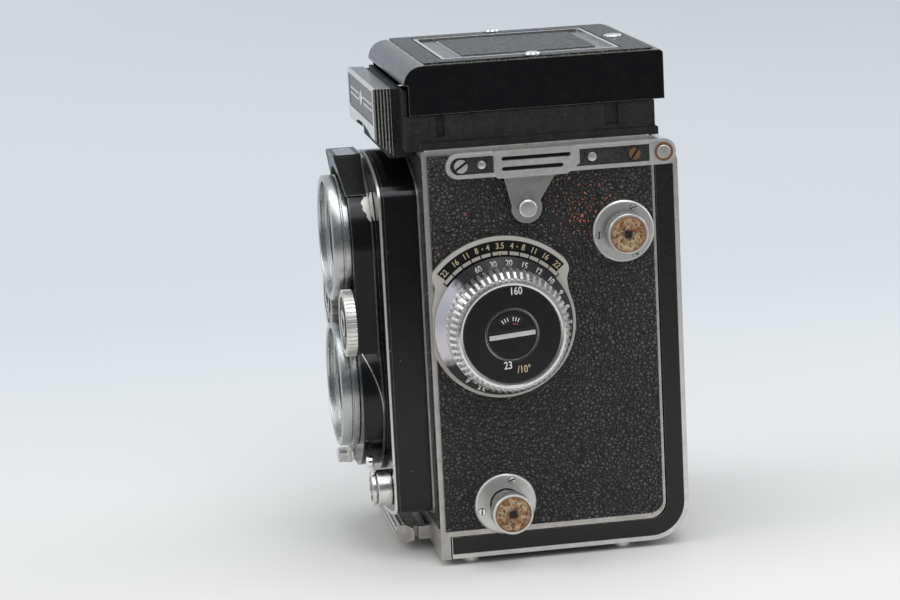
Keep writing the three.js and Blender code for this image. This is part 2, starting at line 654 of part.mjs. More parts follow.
function lensApron() {
  const shell = cut(
    plateY(apronOutline(), APRON_FRONT, FRONT - 0.35, 8),
    plateY(apronOutline(1.2), APRON_FRONT + 1.5, FRONT + 5, 8),
  );
  const holes = [
    discY({ x: 0, z: LENS_TOP }, 15.6, [-70, -40]),
    discY({ x: 0, z: LENS_BOTTOM }, 15.6, [-70, -40]),
    discY(RELEASE, 3.1, [-70, -40], PLAIN),
  ];
  const guides = [-1, 1].map((s) => join(
    box([s * GUIDE_X - 1.5, s * GUIDE_X + 1.5], [APRON_FRONT + 0.8, FOLLOWER_Y], [55, 60]),
    box([s * GUIDE_X - 1.5, s * GUIDE_X + 1.5], [FOLLOWER_Y - 1.6, FOLLOWER_Y], [55, 67.5]),
  ));
  return join(cut(shell, ...holes), ...guides);
}

piece("lens_apron", lensApron(), BLACK_ENAMEL);

// Two round lobes, one per lens, joined at the waist, on a thin base plate that follows them.
function lensHousing() {
  const lobes = (grow, y0, y1) => join(
    discY({ x: 0, z: LENS_TOP }, HOUSING_TOP_R + grow, [y0, y1], 24),
    discY({ x: 0, z: LENS_BOTTOM }, HOUSING_BOTTOM_R + grow, [y0, y1], 24),
    box([-19 - grow, 19 + grow], [y0, y1], [58, 84]),
  );
  const bores = [
    discY({ x: 0, z: LENS_TOP }, 14.6, [-70, -40]),
    discY({ x: 0, z: LENS_BOTTOM }, 14.6, [-70, -40]),
  ];
  const wheelBores = [-1, 1].map((s) => discY({ x: s * WHEEL.x, z: WHEEL.z }, 2.1, [-70, -40], 16));
  const back = APRON_FRONT - 0.15;
  return cut(join(lobes(0, HOUSING_FRONT, back), lobes(1.6, -51.2, back)), ...bores, ...wheelBores);
}

piece("lens_housing", lensHousing(), BLACK_ENAMEL);

// A bezel: outer barrel, rolled rim, recessed ring round the glass.
function bezel(z) {
  const back = HOUSING_FRONT - 0.15;
  return turnedY({ x: 0, z }, [
    [14.8, back], [BEZEL_R, back], [BEZEL_R, BEZEL_FRONT + 0.5], [BEZEL_R - 0.5, BEZEL_FRONT],
    [BEZEL_R - 1.8, BEZEL_FRONT], [BEZEL_R - 2.2, BEZEL_FRONT + 2.2], [14.8, BEZEL_FRONT + 2.8],
  ], 24);
}

piece("viewing_bezel", bezel(LENS_TOP), CHROME);
piece("taking_bezel", bezel(LENS_BOTTOM), CHROME);

// A lens in its black ring: glass with two curved faces and a stepped mount round it.
function lensCell(z, glassR, front, back) {
  const profile = [[0, back]];
  profile.push([glassR, back], [14.3, back], [14.3, front], [glassR + 0.8, front + 1.6]);
  const steps = 3;
  const sag = glassR * 0.16;
  for (let i = 0; i <= steps; i++) {
    const r = glassR * (1 - i / steps);
    profile.push([r, front + 1.9 - sag * (1 - (r / glassR) ** 2)]);
  }
  return turnedY({ x: 0, z }, profile);
}

piece("viewing_lens", lensCell(LENS_TOP, 12.4, -59, -51), GLASS);
piece("taking_lens", lensCell(LENS_BOTTOM, 9.6, -58.8, -51), GLASS);

piece("shutter_case", cut(
  turnedY({ x: 0, z: LENS_BOTTOM }, ringProfile(8.4, 23, [-48.2, -43])),
  discY(RELEASE, 4.5, [-70, -30], PLAIN),
), INNER_BLACK);

piece("rear_lens", turnedY({ x: 0, z: LENS_BOTTOM }, [
  [0, -50.4], [8, -50.4], [8, -40], [6.6, -38.6], [0, -37.6],
]), GLASS);

// Read-out window for the two settings, on top of the housing.
function exposureWindow() {
  const block = box([-9, 9], [-59.9, APRON_FRONT - 1.6], [109, 117.8]);
  const nose = box([-20, 20], [-62, -59.3], [100, 115.4]);
  const clear = [
    discY({ x: 0, z: LENS_TOP }, HOUSING_TOP_R + 2 * GAP, [-70, -40], 24),
    discY({ x: 0, z: LENS_TOP }, BEZEL_R + 2 * GAP, [-70, -40], 24),
  ];
  const pane = box([-7.4, 7.4], [-58.4, -53.2], [117.3, 120]);
  return cut(block, nose, ...clear, pane);
}

piece("exposure_window", exposureWindow(), CHROME);

// A knurled setting wheel on a stub shaft.
function settingWheel(side) {
  const at = { x: side * WHEEL.x, z: WHEEL.z };
  const rim = plateY(movedOutline(knurled(24, WHEEL.r - 0.5, WHEEL.r), at.x, at.z), -60.8, -58);
  const hub = turnedY(at, [
    [0, -61.3], [5.4, -61.3], [6, -60.7], [6, -58], [3, -57.6], [1.8, -57.6], [1.8, -52], [0, -52],
  ], 24);
  return join(rim, hub);
}

piece("aperture_wheel", settingWheel(-1), CHROME);
piece("speed_wheel", settingWheel(1), CHROME);

// The self-timer lever swings round the taking lens, in front of the housing's lower edge.
function selfTimerLever() {
  const shape = new THREE.Shape();
  const [low, high] = [1.36 * Math.PI, 1.42 * Math.PI];
  shape.absarc(0, LENS_BOTTOM, 27.6, low, high, false);
  shape.absarc(0, LENS_BOTTOM, 20.2, high, low, true);
  const tab = new THREE.BoxGeometry(3.4, 3.4, 4);
  const middle = (low + high) / 2;
  tab.rotateY(Math.PI / 2 - middle);
  tab.translate(26 * Math.cos(middle), -60, LENS_BOTTOM + 26 * Math.sin(middle));
  return join(plateY(shape, -59, -57.6), solid(tab));
}

piece("self_timer_lever", selfTimerLever(), CHROME);

piece("flash_socket", join(
  turnedY(FLASH, ringProfile(3.4, 5.4, [-54.6, APRON_FRONT - 0.15]), 16),
  turnedY(FLASH, ringProfile(0.8, 4, [-51.4, APRON_FRONT - 0.15]), 16),
), CHROME);

// The socket's lock: a flat ring with a short arm that ends in a ball-like knob.
function flashLock() {
  const ring = turnedY(FLASH, ringProfile(3.8, 5.2, [-55.9, -54.9]), 16);
  const arm = box([FLASH.x - 1.1, FLASH.x + 1.1], [-55.9, -54.9], [FLASH.z + 4.6, FLASH.z + 8.4]);
  const knob = discY({ x: FLASH.x, z: FLASH.z + 8.2 }, 1.9, [-56.9, -54.9], 16);
  return join(ring, arm, knob);
}

piece("flash_socket_lock", flashLock(), CHROME);

piece("shutter_release", turnedY(RELEASE, [
  [0, -56.6], [2.6, -56.4], [3.3, -55.8], [3.3, -54], [2.7, -53.6], [2.7, -45], [0, -45],
], 24), CHROME);

// ---------------------------------------------------------------- hinged back with the bottom plate
function rearCover() {
  const round = 11.5;
  const outer = new THREE.Shape();
  const start = FRONT + FRONT_WALL + GAP;
  outer.moveTo(start, 0);
  outer.lineTo(REAR - round, 0);
  outer.absarc(REAR - round, round, round, -Math.PI / 2, 0, false);
  outer.lineTo(REAR, HINGE.z - 2.8);
  outer.lineTo(HINGE.y + HINGE.r, HINGE.z);
  outer.lineTo(FRAME_REAR + 0.3, HINGE.z - 3.6);
  outer.lineTo(FRAME_REAR + 0.3, BAND + CORNER);
  outer.absarc(FRAME_REAR - CORNER, BAND + CORNER, CORNER + GAP, 0, -Math.PI / 2, true);
  outer.lineTo(start, BAND - GAP);
  const skin = plateX(outer, -BODY_HALF, BODY_HALF, 8);
  const inner = new THREE.Shape();
  const wall = 2;
  inner.moveTo(start - 5, wall);
  inner.lineTo(REAR - round, wall);
  inner.absarc(REAR - round, round, round - wall, -Math.PI / 2, 0, false);
  inner.lineTo(REAR - wall, HINGE.z - 4.6);
  inner.lineTo(0, HINGE.z - 4.6);
  inner.lineTo(-60, 60);
  const hollow = plateX(inner, -BODY_HALF + WALL, BODY_HALF - WALL, 8);
  const barrel = discX(HINGE, HINGE.r, [-BODY_HALF, BODY_HALF], 24);
  const feet = [-1, 1].flatMap((s) => [-29, 17].map((y) => turnedZ({ x: s * 33.5, y }, [
    [0, 0.5], [3.2, 0.5], [3.2, -0.9], [2.4, -FOOT], [0, -FOOT],
  ], 10)));
  const bores = [-1, 1].map((s) => discX(HINGE, 1.5, [s * 37 - 3, s * 37 + 3], 16));
  return cut(
    join(cut(skin, hollow), barrel, ...feet),
    discZ(TRIPOD, 7, [-5, 5], 24),
    ...bores,
  );
}

const TRIPOD = { x: 0, y: -6.5 };
piece("rear_cover", rearCover(), BLACK_ENAMEL);
piece("rear_leather", box([-34.5, 34.5], [REAR + 0.1, REAR + 0.1 + LEATHER], [14, 106]), BLACK_LEATHER);
piece("pressure_plate", join(
  box([-29, 29], [28, 29.4], [17, 76.6]),
  box([-9, 9], [29, 32.4], [38, 56]),
), INNER_BLACK);

piece("tripod_socket", turnedZ(TRIPOD, [
  [3.2, -FOOT], [9.2, -FOOT], [9.5, -FOOT + 0.3], [9.5, -GAP], [6.6, -GAP], [6.6, 3.4], [3.2, 3.4],
]), SATIN_METAL);

piece("back_lock_ring", join(
  plateZ(movedOutline(knurled(20, 12.3, 12.8), TRIPOD.x, TRIPOD.y), -1.6, -GAP),
  box([-1.6, 1.6], [TRIPOD.y - 15, TRIPOD.y - 11], [-1.6, -GAP]),
).subtract(discZ(TRIPOD, 9.9, [-5, 5])), SATIN_METAL);

// The latch lever: knuckle on its pin, broad finger plate with a rounded ribbed front end.
function backLatch() {
  const profile = new THREE.Shape();
  profile.moveTo(-40.1, 4);
  profile.lineTo(-46.4, 5);
  profile.absarc(-46.8, 3.1, 2, Math.PI / 2, (3 * Math.PI) / 2, false);
  profile.lineTo(-40.1, 1.6);
  const knuckle = discX({ y: -40.1, z: 2.8 }, 1.75, [-14.7, 14.7], 16);
  const plate = cut(
    plateX(profile, -18, 18, 8),
    ...[-1, 1].map((s) => box([s * 16.4 - 1.9, s * 16.4 + 1.9], [-43, -30], [-9, 9])),
  );
  const ribs = [-49.3, -48.3, -47.3].map((y) => box([-17, 17], [y, y + 0.45], [4.6, 9]));
  return cut(join(plate, knuckle), discX({ y: -40.1, z: 2.8 }, 1.1, [-30, 30], 12), ...ribs);
}

piece("back_latch", backLatch(), WARM_METAL);

// ---------------------------------------------------------------- finder hood
function hoodBase() {
  const low = TOP + 0.1;
  const walls = join(
    box([-HOOD_HALF, HOOD_HALF], [HOOD_FRONT, HOOD_REAR], [low, HOOD_BASE_TOP]),
    box([-HOOD_HALF - 0.5, HOOD_HALF + 0.5], [-38.4, HOOD_REAR + 0.8], [low, low + 2.2]),
    box([-33, 33], [29.2, HOOD_REAR], [low, 135.6]),
    box([-34.8, 34.8], [HOOD_FRONT, HOOD_FRONT + 1.1], [low, 138.8]),
    box([-27, 27], [-44.2, HOOD_FRONT + 1], [low, 138.8]),
    box([-27.2, 27.2], [-45.6, FRONT - 0.4], [118.8, 124.6]),
  );
  const well = box([-34.2, 34.2], [-37, 29.2], [low + 1.8, 200]);
  const screen = box([-28, 28], [-30, 26], [0, 200]);
  const notches = [-1, 1].flatMap((s) => [[-33, -30.6], [16.3, 20.5]].map(([y0, y1]) =>
    box([s * 36 - 0.8, s * 36 + 0.8], [y0, y1], [125.2, 140])));
  return cut(walls, well, screen, ...notches);
}

piece("hood_base", hoodBase(), WRINKLE_BLACK);

// The plate at the hood's front: arched lower edge, grooved cheeks.
function namePlate() {
  const shape = new THREE.Shape();
  shape.moveTo(-27.7, 119.6);
  shape.lineTo(-26.4, 119.6);
  shape.lineTo(-26, 123.6);
  shape.quadraticCurveTo(0, 130.4, 26, 123.6);
  shape.lineTo(26.4, 119.6);
  shape.lineTo(27.7, 119.6);
  shape.lineTo(27.7, 138.4);
  shape.quadraticCurveTo(27.7, 139.4, 26.7, 139.4);
  shape.lineTo(-26.7, 139.4);
  shape.quadraticCurveTo(-27.7, 139.4, -27.7, 138.4);
  const block = cut(
    plateY(shape, PLATE_FRONT, -44.5, 8),
    box([-27.5, 27.5], [-46, -40], [100, 124.9]),
  );
  const grooves = [-1, 1].flatMap((s) => [0, 1, 2, 3, 4].map((i) =>
    box([s * 27.9 - 0.7, s * 27.9 + 0.7], [PLATE_FRONT + 0.7 + i * 0.9, PLATE_FRONT + 1.15 + i * 0.9], [110, 150])));
  const field = plateY(roundedRectangle(-25.4, 25.4, 129, 137.6, 0.8), PLATE_FRONT - 1, PLATE_FRONT + 0.4, 3);
  return cut(block, ...grooves, field);
}

piece("name_plate", namePlate(), CHROME);

const FLAP = { half: 27.8, front: -29.3, rear: 23.7 }; // opening for the sports finder in the lid

function hoodLid() {
  const side = new THREE.Shape();
  side.moveTo(LID_FRONT, LID_BOTTOM);
  side.lineTo(LID_REAR, LID_BOTTOM);
  side.lineTo(LID_REAR, LID_TOP - 1);
  side.quadraticCurveTo(LID_REAR, LID_TOP, LID_REAR - 1, LID_TOP);
  side.lineTo(-35.5, LID_TOP);
  side.quadraticCurveTo(-40.6, LID_TOP, -41.8, 141);
  side.lineTo(-41.8, 140.6);
  side.lineTo(LID_FRONT, 140.6);
  const outer = plateX(side, -HOOD_HALF - 0.4, HOOD_HALF + 0.4, 8);
  const hollow = join(
    box([-HOOD_HALF + 1, HOOD_HALF - 1], [LID_FRONT - 5, LID_REAR - 1.3], [100, 140.5]),
    box([-HOOD_HALF + 1, HOOD_HALF - 1], [LID_FRONT + 3, LID_REAR - 1.3], [100, LID_TOP - 1.6]),
  );
  const opening = box([-FLAP.half, FLAP.half], [FLAP.front, FLAP.rear], [100, 200]);
  const studs = [-1, 1].map((s) => turnedZ({ x: s * 32.6, y: -3.4 }, [
    [0, 145], [2.3, 145], [2.3, 147.2], [1.9, 147.6], [0, 147.6],
  ], 16));
  const button = turnedZ({ x: 0, y: 27.6 }, [[0, 145], [2.8, 145], [2.8, 146.9], [2.4, 147.2], [0, 147.2]], 20);
  return join(cut(outer, hollow, opening), ...studs, button);
}

piece("hood_lid", hoodLid(), BLACK_ENAMEL);

function lidLeather() {
  const sheet = box([-34.6, 34.6], [-35.4, 31.8], [LID_TOP + 0.1, LID_TOP + 0.55]);
  const window = box([-FLAP.half - 0.2, FLAP.half + 0.2], [FLAP.front - 0.2, FLAP.rear + 0.2], [140, 150]);
  const studs = [-1, 1].map((s) => discZ({ x: s * 32.6, y: -3.4 }, 2.7, [140, 150], 16));
  const button = discZ({ x: 0, y: 27.6 }, 3.2, [140, 150], 20);
  return cut(sheet, window, ...studs, button);
}

piece("lid_leather", lidLeather(), BLACK_LEATHER);

// The sports finder flap: bright frame round a dark panel with a raised leather field.
function finderFlap() {
  const frame = box([-FLAP.half + GAP, FLAP.half - GAP], [FLAP.front + GAP, FLAP.rear - GAP], [144.7, 146.5]);
  const lowered = box([-26, 26], [-27.6, 22], [146, 150]);
  const pad = box([-21, 21], [-22.4, 17], [145.5, 146.35]);
  return join(cut(frame, lowered), pad);
}

piece("finder_flap", finderFlap(), CHROME);

const WALL_HINGE = { x: 33.4, z: 124.4 }; // hinge line of the hood's side walls
const WALL_HEIGHT = 33;

// A folded side wall of the hood: lies flat over the screen, with slanted upper corners.
function hoodSideWall() {
  const shape = outline([
    [WALL_HINGE.x, -30], [WALL_HINGE.x, 24], [WALL_HINGE.x - WALL_HEIGHT, 13], [WALL_HINGE.x - WALL_HEIGHT, -22],
  ]);
  const knuckles = [-28, 4].map((y) => {
    const rod = new THREE.CylinderGeometry(0.75, 0.75, 16, 10);
    rod.translate(WALL_HINGE.x, y + 8, WALL_HINGE.z);
    return solid(rod);
  });
  return join(plateZ(shape, WALL_HINGE.z - 0.4, WALL_HINGE.z + 0.4), ...knuckles);
}

const sideWall = hoodSideWall();
piece("hood_left_wall", sideWall, WRINKLE_BLACK);
piece("hood_right_wall", sideWall.mirror([1, 0, 0]), WRINKLE_BLACK);

const REAR_WALL_HINGE = { y: 28, z: 134 };
const REAR_WALL_HEIGHT = 21;
piece("hood_rear_wall", join(
  plateZ(outline([
    [-31, REAR_WALL_HINGE.y], [-30, REAR_WALL_HINGE.y - REAR_WALL_HEIGHT],
    [30, REAR_WALL_HINGE.y - REAR_WALL_HEIGHT], [31, REAR_WALL_HINGE.y],
  ]), REAR_WALL_HINGE.z - 0.4, REAR_WALL_HINGE.z + 0.4),
  discX(REAR_WALL_HINGE, 0.75, [-24, 24], 10),
), WRINKLE_BLACK);

const MAGNIFIER = { x: 0, y: 20, z: 139, r: 10 };
const MAGNIFIER_HINGE = { y: -8, z: 139.6 };

function magnifierArm() {
  const ring = turnedZ(MAGNIFIER, ringProfile(MAGNIFIER.r - 0.9, MAGNIFIER.r + 1, [137.4, 140.6]), 20);
  const arms = [-1, 1].map((s) =>
    box([s * 6 - 1.5, s * 6 + 1.5], [MAGNIFIER_HINGE.y, MAGNIFIER.y - 7.6], [MAGNIFIER.z, MAGNIFIER.z + 1.2]));
  const rod = discX(MAGNIFIER_HINGE, 1.1, [-12, 12], 12);
  return cut(join(ring, ...arms, rod), discZ(MAGNIFIER, MAGNIFIER.r - 0.9, [130, 150], 20));
}

piece("magnifier_arm", magnifierArm(), INNER_BLACK);
piece("magnifier_lens", turnedZ(MAGNIFIER, [
  [0, 137.3], [5, 137.5], [MAGNIFIER.r - 1.2, 138.2], [MAGNIFIER.r - 1.2, 139.6], [5, 140.3], [0, 140.5],
], 20), GLASS);

export default group;
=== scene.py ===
import json
import math

import bmesh
import bpy
from mathutils import Matrix, Vector
from mathutils.geometry import tessellate_polygon


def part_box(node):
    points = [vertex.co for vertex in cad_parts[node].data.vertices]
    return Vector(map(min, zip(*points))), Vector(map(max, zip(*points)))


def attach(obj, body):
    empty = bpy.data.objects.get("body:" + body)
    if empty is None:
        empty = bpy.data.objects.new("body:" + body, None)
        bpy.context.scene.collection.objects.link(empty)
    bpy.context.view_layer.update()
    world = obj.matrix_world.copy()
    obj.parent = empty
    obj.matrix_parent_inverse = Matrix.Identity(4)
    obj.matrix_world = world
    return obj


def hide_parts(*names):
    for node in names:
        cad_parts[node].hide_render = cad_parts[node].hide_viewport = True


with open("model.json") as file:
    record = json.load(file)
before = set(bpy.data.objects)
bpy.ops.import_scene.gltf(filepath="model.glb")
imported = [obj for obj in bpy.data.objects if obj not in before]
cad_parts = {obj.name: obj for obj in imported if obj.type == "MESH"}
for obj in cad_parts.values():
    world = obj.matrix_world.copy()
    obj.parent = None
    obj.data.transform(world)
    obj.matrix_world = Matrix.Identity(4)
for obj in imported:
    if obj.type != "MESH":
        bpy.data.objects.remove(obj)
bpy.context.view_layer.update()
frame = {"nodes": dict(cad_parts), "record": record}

MM = 0.001
FOOT = 2.0  # height of the feet, which the bottom plate stands on
BODY_OF = {node: body for body, nodes in frame["record"]["behaviour"]["bodies"].items() for node in nodes}
ROOM = (30, 60)  # reach of a cutter that goes right through a plate on the knob side


def box(node):
    """Lowest and highest corner of a CAD node."""
    lift = Vector((0, 0, FOOT))
    return [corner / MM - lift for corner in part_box(node)]


def middle(node):
    low, high = box(node)
    return (low + high) / 2


# ------------------------------------------------------------------ outlines
def polar(centre, r, angle):
    """The point of a circle at an angle in degrees."""
    turn = math.radians(angle)
    return (centre[0] + r * math.cos(turn), centre[1] + r * math.sin(turn))


def arc(centre, r, start, end, steps=24):
    """Points on a circle from one angle to another, in degrees."""
    return [polar(centre, r, start + (end - start) * i / steps) for i in range(steps + 1)]


def circle(centre, r, steps=96):
    return arc(centre, r, 0, 360, steps)[:-1]


def stadium(u0, u1, v, r):
    """A bar with round ends, of half-width r, between two end centres."""
    return arc((u1, v), r, -90, 90) + arc((u0, v), r, 90, 270)


def rounded(u0, u1, v0, v1, r, steps=8):
    """A rectangle with round corners."""
    corners = [(u1 - r, v0 + r, -90), (u1 - r, v1 - r, 0), (u0 + r, v1 - r, 90), (u0 + r, v0 + r, 180)]
    return [point for u, v, start in corners for point in arc((u, v), r, start, start + 90, steps)]


def curve(a, control, b, steps=16):
    """Points of a quadratic curve from a to b."""
    points = []
    for i in range(steps + 1):
        t = i / steps
        weights = ((1 - t) ** 2, 2 * t * (1 - t), t * t)
        points.append(tuple(sum(w * p[k] for w, p in zip(weights, (a, control, b))) for k in (0, 1)))
    return points


def knurled(centre, teeth, groove, ridge):
    """A round outline with flat-topped teeth."""
    corners = ((groove, -0.36), (ridge, -0.2), (ridge, 0.2), (groove, 0.36))
    return [polar(centre, r, (tooth + share) / teeth * 360) for tooth in range(teeth) for r, share in corners]


def sector(centre, r0, r1, start, end, steps):
    """A piece of a ring between two radii and two angles."""
    return arc(centre, r1, start, end, steps) + arc(centre, r0, end, start, steps)


# ------------------------------------------------------------------ closed shells
def placed(axis, u, v, w):
    """A point from its two outline coordinates and its place along the axis."""
    return {"x": (w, u, v), "y": (u, w, v), "z": (u, v, w)}[axis]


def tilted(centre, angle, u, v):
    """The point (u, v) of a figure that is turned by an angle and stands at a centre."""
    c, s = math.cos(math.radians(angle)), math.sin(math.radians(angle))
    return (u * c - v * s + centre[0], u * s + v * c + centre[1])


def linked(name, data):
    """A new object in the scene."""
    made = bpy.data.objects.new(name, data)
    bpy.context.scene.collection.objects.link(made)
    return made


class Shells:
    """Closed shells that together make one piece. `side` -1 mirrors everything to the other side."""

    def __init__(self, side=1):
        self.mesh = bmesh.new()
        self.materials = []
        self.side = side

    def slot(self, material):
        if material not in self.materials:
            self.materials.append(material)
        return self.materials.index(material)

    def face(self, vertices, index):
        self.mesh.faces.new(vertices).material_index = index

    def wall(self, one, other, index):
        """Faces between two rings of the same length."""
        for i in range(len(one)):
            j = (i + 1) % len(one)
            self.face((one[i], one[j], other[j], other[i]), index)

    def ring(self, points):
        return [self.mesh.verts.new((self.side * x, y, z)) for x, y, z in points]

    def loft(self, rings, material, closed=False):
        """Rings of points joined in order. The ends are filled, or the last ring joins the first."""
        index = self.slot(material)
        rings = [self.ring(points) for points in rings]
        pairs = list(zip(rings, rings[1:]))
        if closed:
            pairs.append((rings[-1], rings[0]))
        else:
            self.face(list(reversed(rings[0])), index)
            self.face(rings[-1], index)
        for one, other in pairs:
            self.wall(one, other, index)
        return self

    def prism(self, axis, outline, low, high, material=None, holes=()):
        """An outline pushed along an axis, with holes through it."""
        if not holes:
            return self.loft([[placed(axis, u, v, w) for u, v in outline] for w in (low, high)], material)
        index = self.slot(material)
        loops = [outline, *holes]
        layers = []
        for w in (low, high):
            layers.append([self.ring([placed(axis, u, v, w) for u, v in loop]) for loop in loops])
        triangles = tessellate_polygon([[Vector((u, v, 0)) for u, v in loop] for loop in loops])
        for layer in layers:
            corners = [vertex for loop in layer for vertex in loop]
            for triangle in triangles:
                self.face([corners[i] for i in triangle], index)
        for bottom, top in zip(*layers):
            self.wall(bottom, top, index)
        return self

    def block(self, x, y, z, material=None):
        return self.prism("z", [(x[0], y[0]), (x[1], y[0]), (x[1], y[1]), (x[0], y[1])], *z, material)

    def turned(self, axis, centre, profile, material, closed=False, steps=96):
        """A turned shape: the profile lists (radius, place along the axis) and never touches the axis."""
        rings = [[placed(axis, u, v, w) for u, v in circle(centre, r, steps)] for r, w in profile]
        return self.loft(rings, material, closed)

    def disc(self, axis, centre, r, low, high, material=None, steps=64):
        return self.turned(axis, centre, [(r, low), (r, high)], material, steps=steps)

    def tube(self, axis, centre, r0, r1, low, high, material, steps=96):
        profile = [(r0, low), (r1, low), (r1, high), (r0, high)]
        return self.turned(axis, centre, profile, material, True, steps)

    def screw(self, axis, centre, r, low, high, angle, material):
        """A screw head as two halves beside a slot; the slot floor and the head below it are black, as
        painted shade.
        """
        floor = low + (high - low) * 0.4
        # painted shade: the head below the slot in black
        self.disc(axis, centre, r, low, floor, INNER_BLACK_AND_PAINTED_SHADE, 40)
        slot_half = 11
        for turn in (angle + slot_half, angle + 180 + slot_half):
            half = arc(centre, r, turn, turn + 180 - 2 * slot_half, 20)
            self.prism(axis, half, floor - 0.01, high, material)

    def text(self, words, size, centre, angle, low, high, material, axis="x", font_scale=1.0):
        """Figures that stand up from a face square to the axis. A negative font_scale mirrors them."""
        made = bpy.data.curves.new("figures", "FONT")
        made.body = words
        made.size = size
        made.align_x = "CENTER"
        made.align_y = "CENTER"
        made.extrude = 0.5
        made.resolution_u = 4
        made.offset = 0.01 * size
        holder = linked("figures", made)
        mesh = bpy.data.meshes.new_from_object(holder.evaluated_get(bpy.context.evaluated_depsgraph_get()))
        bpy.data.objects.remove(holder)
        index = self.slot(material)
        vertices = []
        for vertex in mesh.vertices:
            u, v = tilted(centre, angle, vertex.co.x * font_scale, vertex.co.y)
            w = high if vertex.co.z > 0 else low
            vertices.append(self.mesh.verts.new(placed(axis, u, v, w)))
        for polygon in mesh.polygons:
            self.face([vertices[i] for i in polygon.vertices], index)
        bmesh.ops.remove_doubles(self.mesh, verts=vertices, dist=1e-4)
        bpy.data.meshes.remove(mesh)

    def paint(self, material, test):
        """Gives the faces that pass a test of centre and normal another material."""
        index = self.slot(material)
        self.mesh.normal_update()
        for face in self.mesh.faces:
            if test(face.calc_center_median(), face.normal):
                face.material_index = index

    def object(self, name, scale=1.0, lift=0.0):
        bmesh.ops.recalc_face_normals(self.mesh, faces=self.mesh.faces)
        mesh = bpy.data.meshes.new(name)
        self.mesh.to_mesh(mesh)
        mesh.transform(Matrix.Scale(scale, 4) @ Matrix.Translation((0, 0, lift)))
        for material in self.materials:
            mesh.materials.append(material)
        return linked(name, mesh)

    def cut(self, *cutters):
        """Takes the cutters' volumes away. The walls of the cuts have this piece's first material."""
        target = self.object("cut_target")
        others = [cutter.object("cut_tool") for cutter in cutters]
        for other in others:
            modifier = target.modifiers.new("cut", "BOOLEAN")
            modifier.solver = "EXACT"
            modifier.operation = "DIFFERENCE"
            modifier.object = other
        depsgraph = bpy.context.evaluated_depsgraph_get()
        mesh = bpy.data.meshes.new_from_object(target.evaluated_get(depsgraph))
        self.mesh.clear()
        self.mesh.from_mesh(mesh)
        for used in (target, *others):
            bpy.data.objects.remove(used)
        bpy.data.meshes.remove(mesh)


def soften(made, bevel, angle, segments):
    """Rounds the sharp edges of a piece."""
    modifier = made.modifiers.new("bevel", "BEVEL")
    modifier.width = bevel * MM
    modifier.segments = segments
    modifier.limit_method = "ANGLE"
    modifier.angle_limit = math.radians(angle)
    modifier.harden_normals = True
    modifier.use_clamp_overlap = True


def finish(name, shells, body, bevel=0.0, segments=2):
    """Makes the shells an object that rides on a body."""
    made = shells.object(name, MM, FOOT)
    made.data.shade_smooth()
    made.data.set_sharp_from_angle(angle=math.radians(30))
    if bevel:
        soften(made, bevel, 30, segments)
    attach(made, body)
    return made


def piece(name, shells, node, bevel=0.0, segments=2):
    """Finishes the shells as a piece that stands for a CAD node: it rides on the node's body, and the node is
    hidden.
    """
    made = finish(name, shells, BODY_OF[node], bevel, segments)
    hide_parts(node)


def dress(node, look, bevel=0.15, segments=2):
    """Gives a CAD node its look and rounds its edges."""
    made = frame["nodes"][node]
    made.data.materials.clear()
    made.data.materials.append(look)
    soften(made, bevel, 40, segments)


# ------------------------------------------------------------------ materials
class Nodes:
    """Short calls that add and join the nodes of a tree."""

    def __init__(self, tree):
        self.tree = tree

    def add(self, kind, inputs=None, **settings):
        made = self.tree.nodes.new("ShaderNode" + kind)
        for key, value in settings.items():
            setattr(made, key, value)
        for key, value in (inputs or {}).items():
            self.join(made.inputs[key], value)
        return made

    def join(self, socket, value):
        if isinstance(value, bpy.types.NodeSocket):
            self.tree.links.new(value, socket)
        elif socket.type == "RGBA" and len(value) == 3:
            socket.default_value = (*value, 1.0)
        else:
            socket.default_value = value

    def ramp(self, value, low, high, out_low=0.0, out_high=1.0, smooth=False):
        kind = "SMOOTHSTEP" if smooth else "LINEAR"
        inputs = {"Value": value, "From Min": low, "From Max": high, "To Min": out_low, "To Max": out_high}
        return self.add("MapRange", inputs, interpolation_type=kind).outputs["Result"]

    def math(self, operation, a, b=0.0):
        return self.add("Math", {0: a, 1: b}, operation=operation, use_clamp=False).outputs[0]

    def times(self, a, b):
        return self.math("MULTIPLY", a, b)

    def plus(self, a, b):
        return self.math("ADD", a, b)

    def minus(self, a, b):
        return self.math("SUBTRACT", a, b)

    def mix(self, share, a, b):
        return self.add("Mix", {0: share, 6: a, 7: b}, data_type="RGBA").outputs[2]

    def blend(self, share, a, b):
        """A number between two numbers."""
        return self.add("Mix", {0: share, 2: a, 3: b}, data_type="FLOAT").outputs[0]


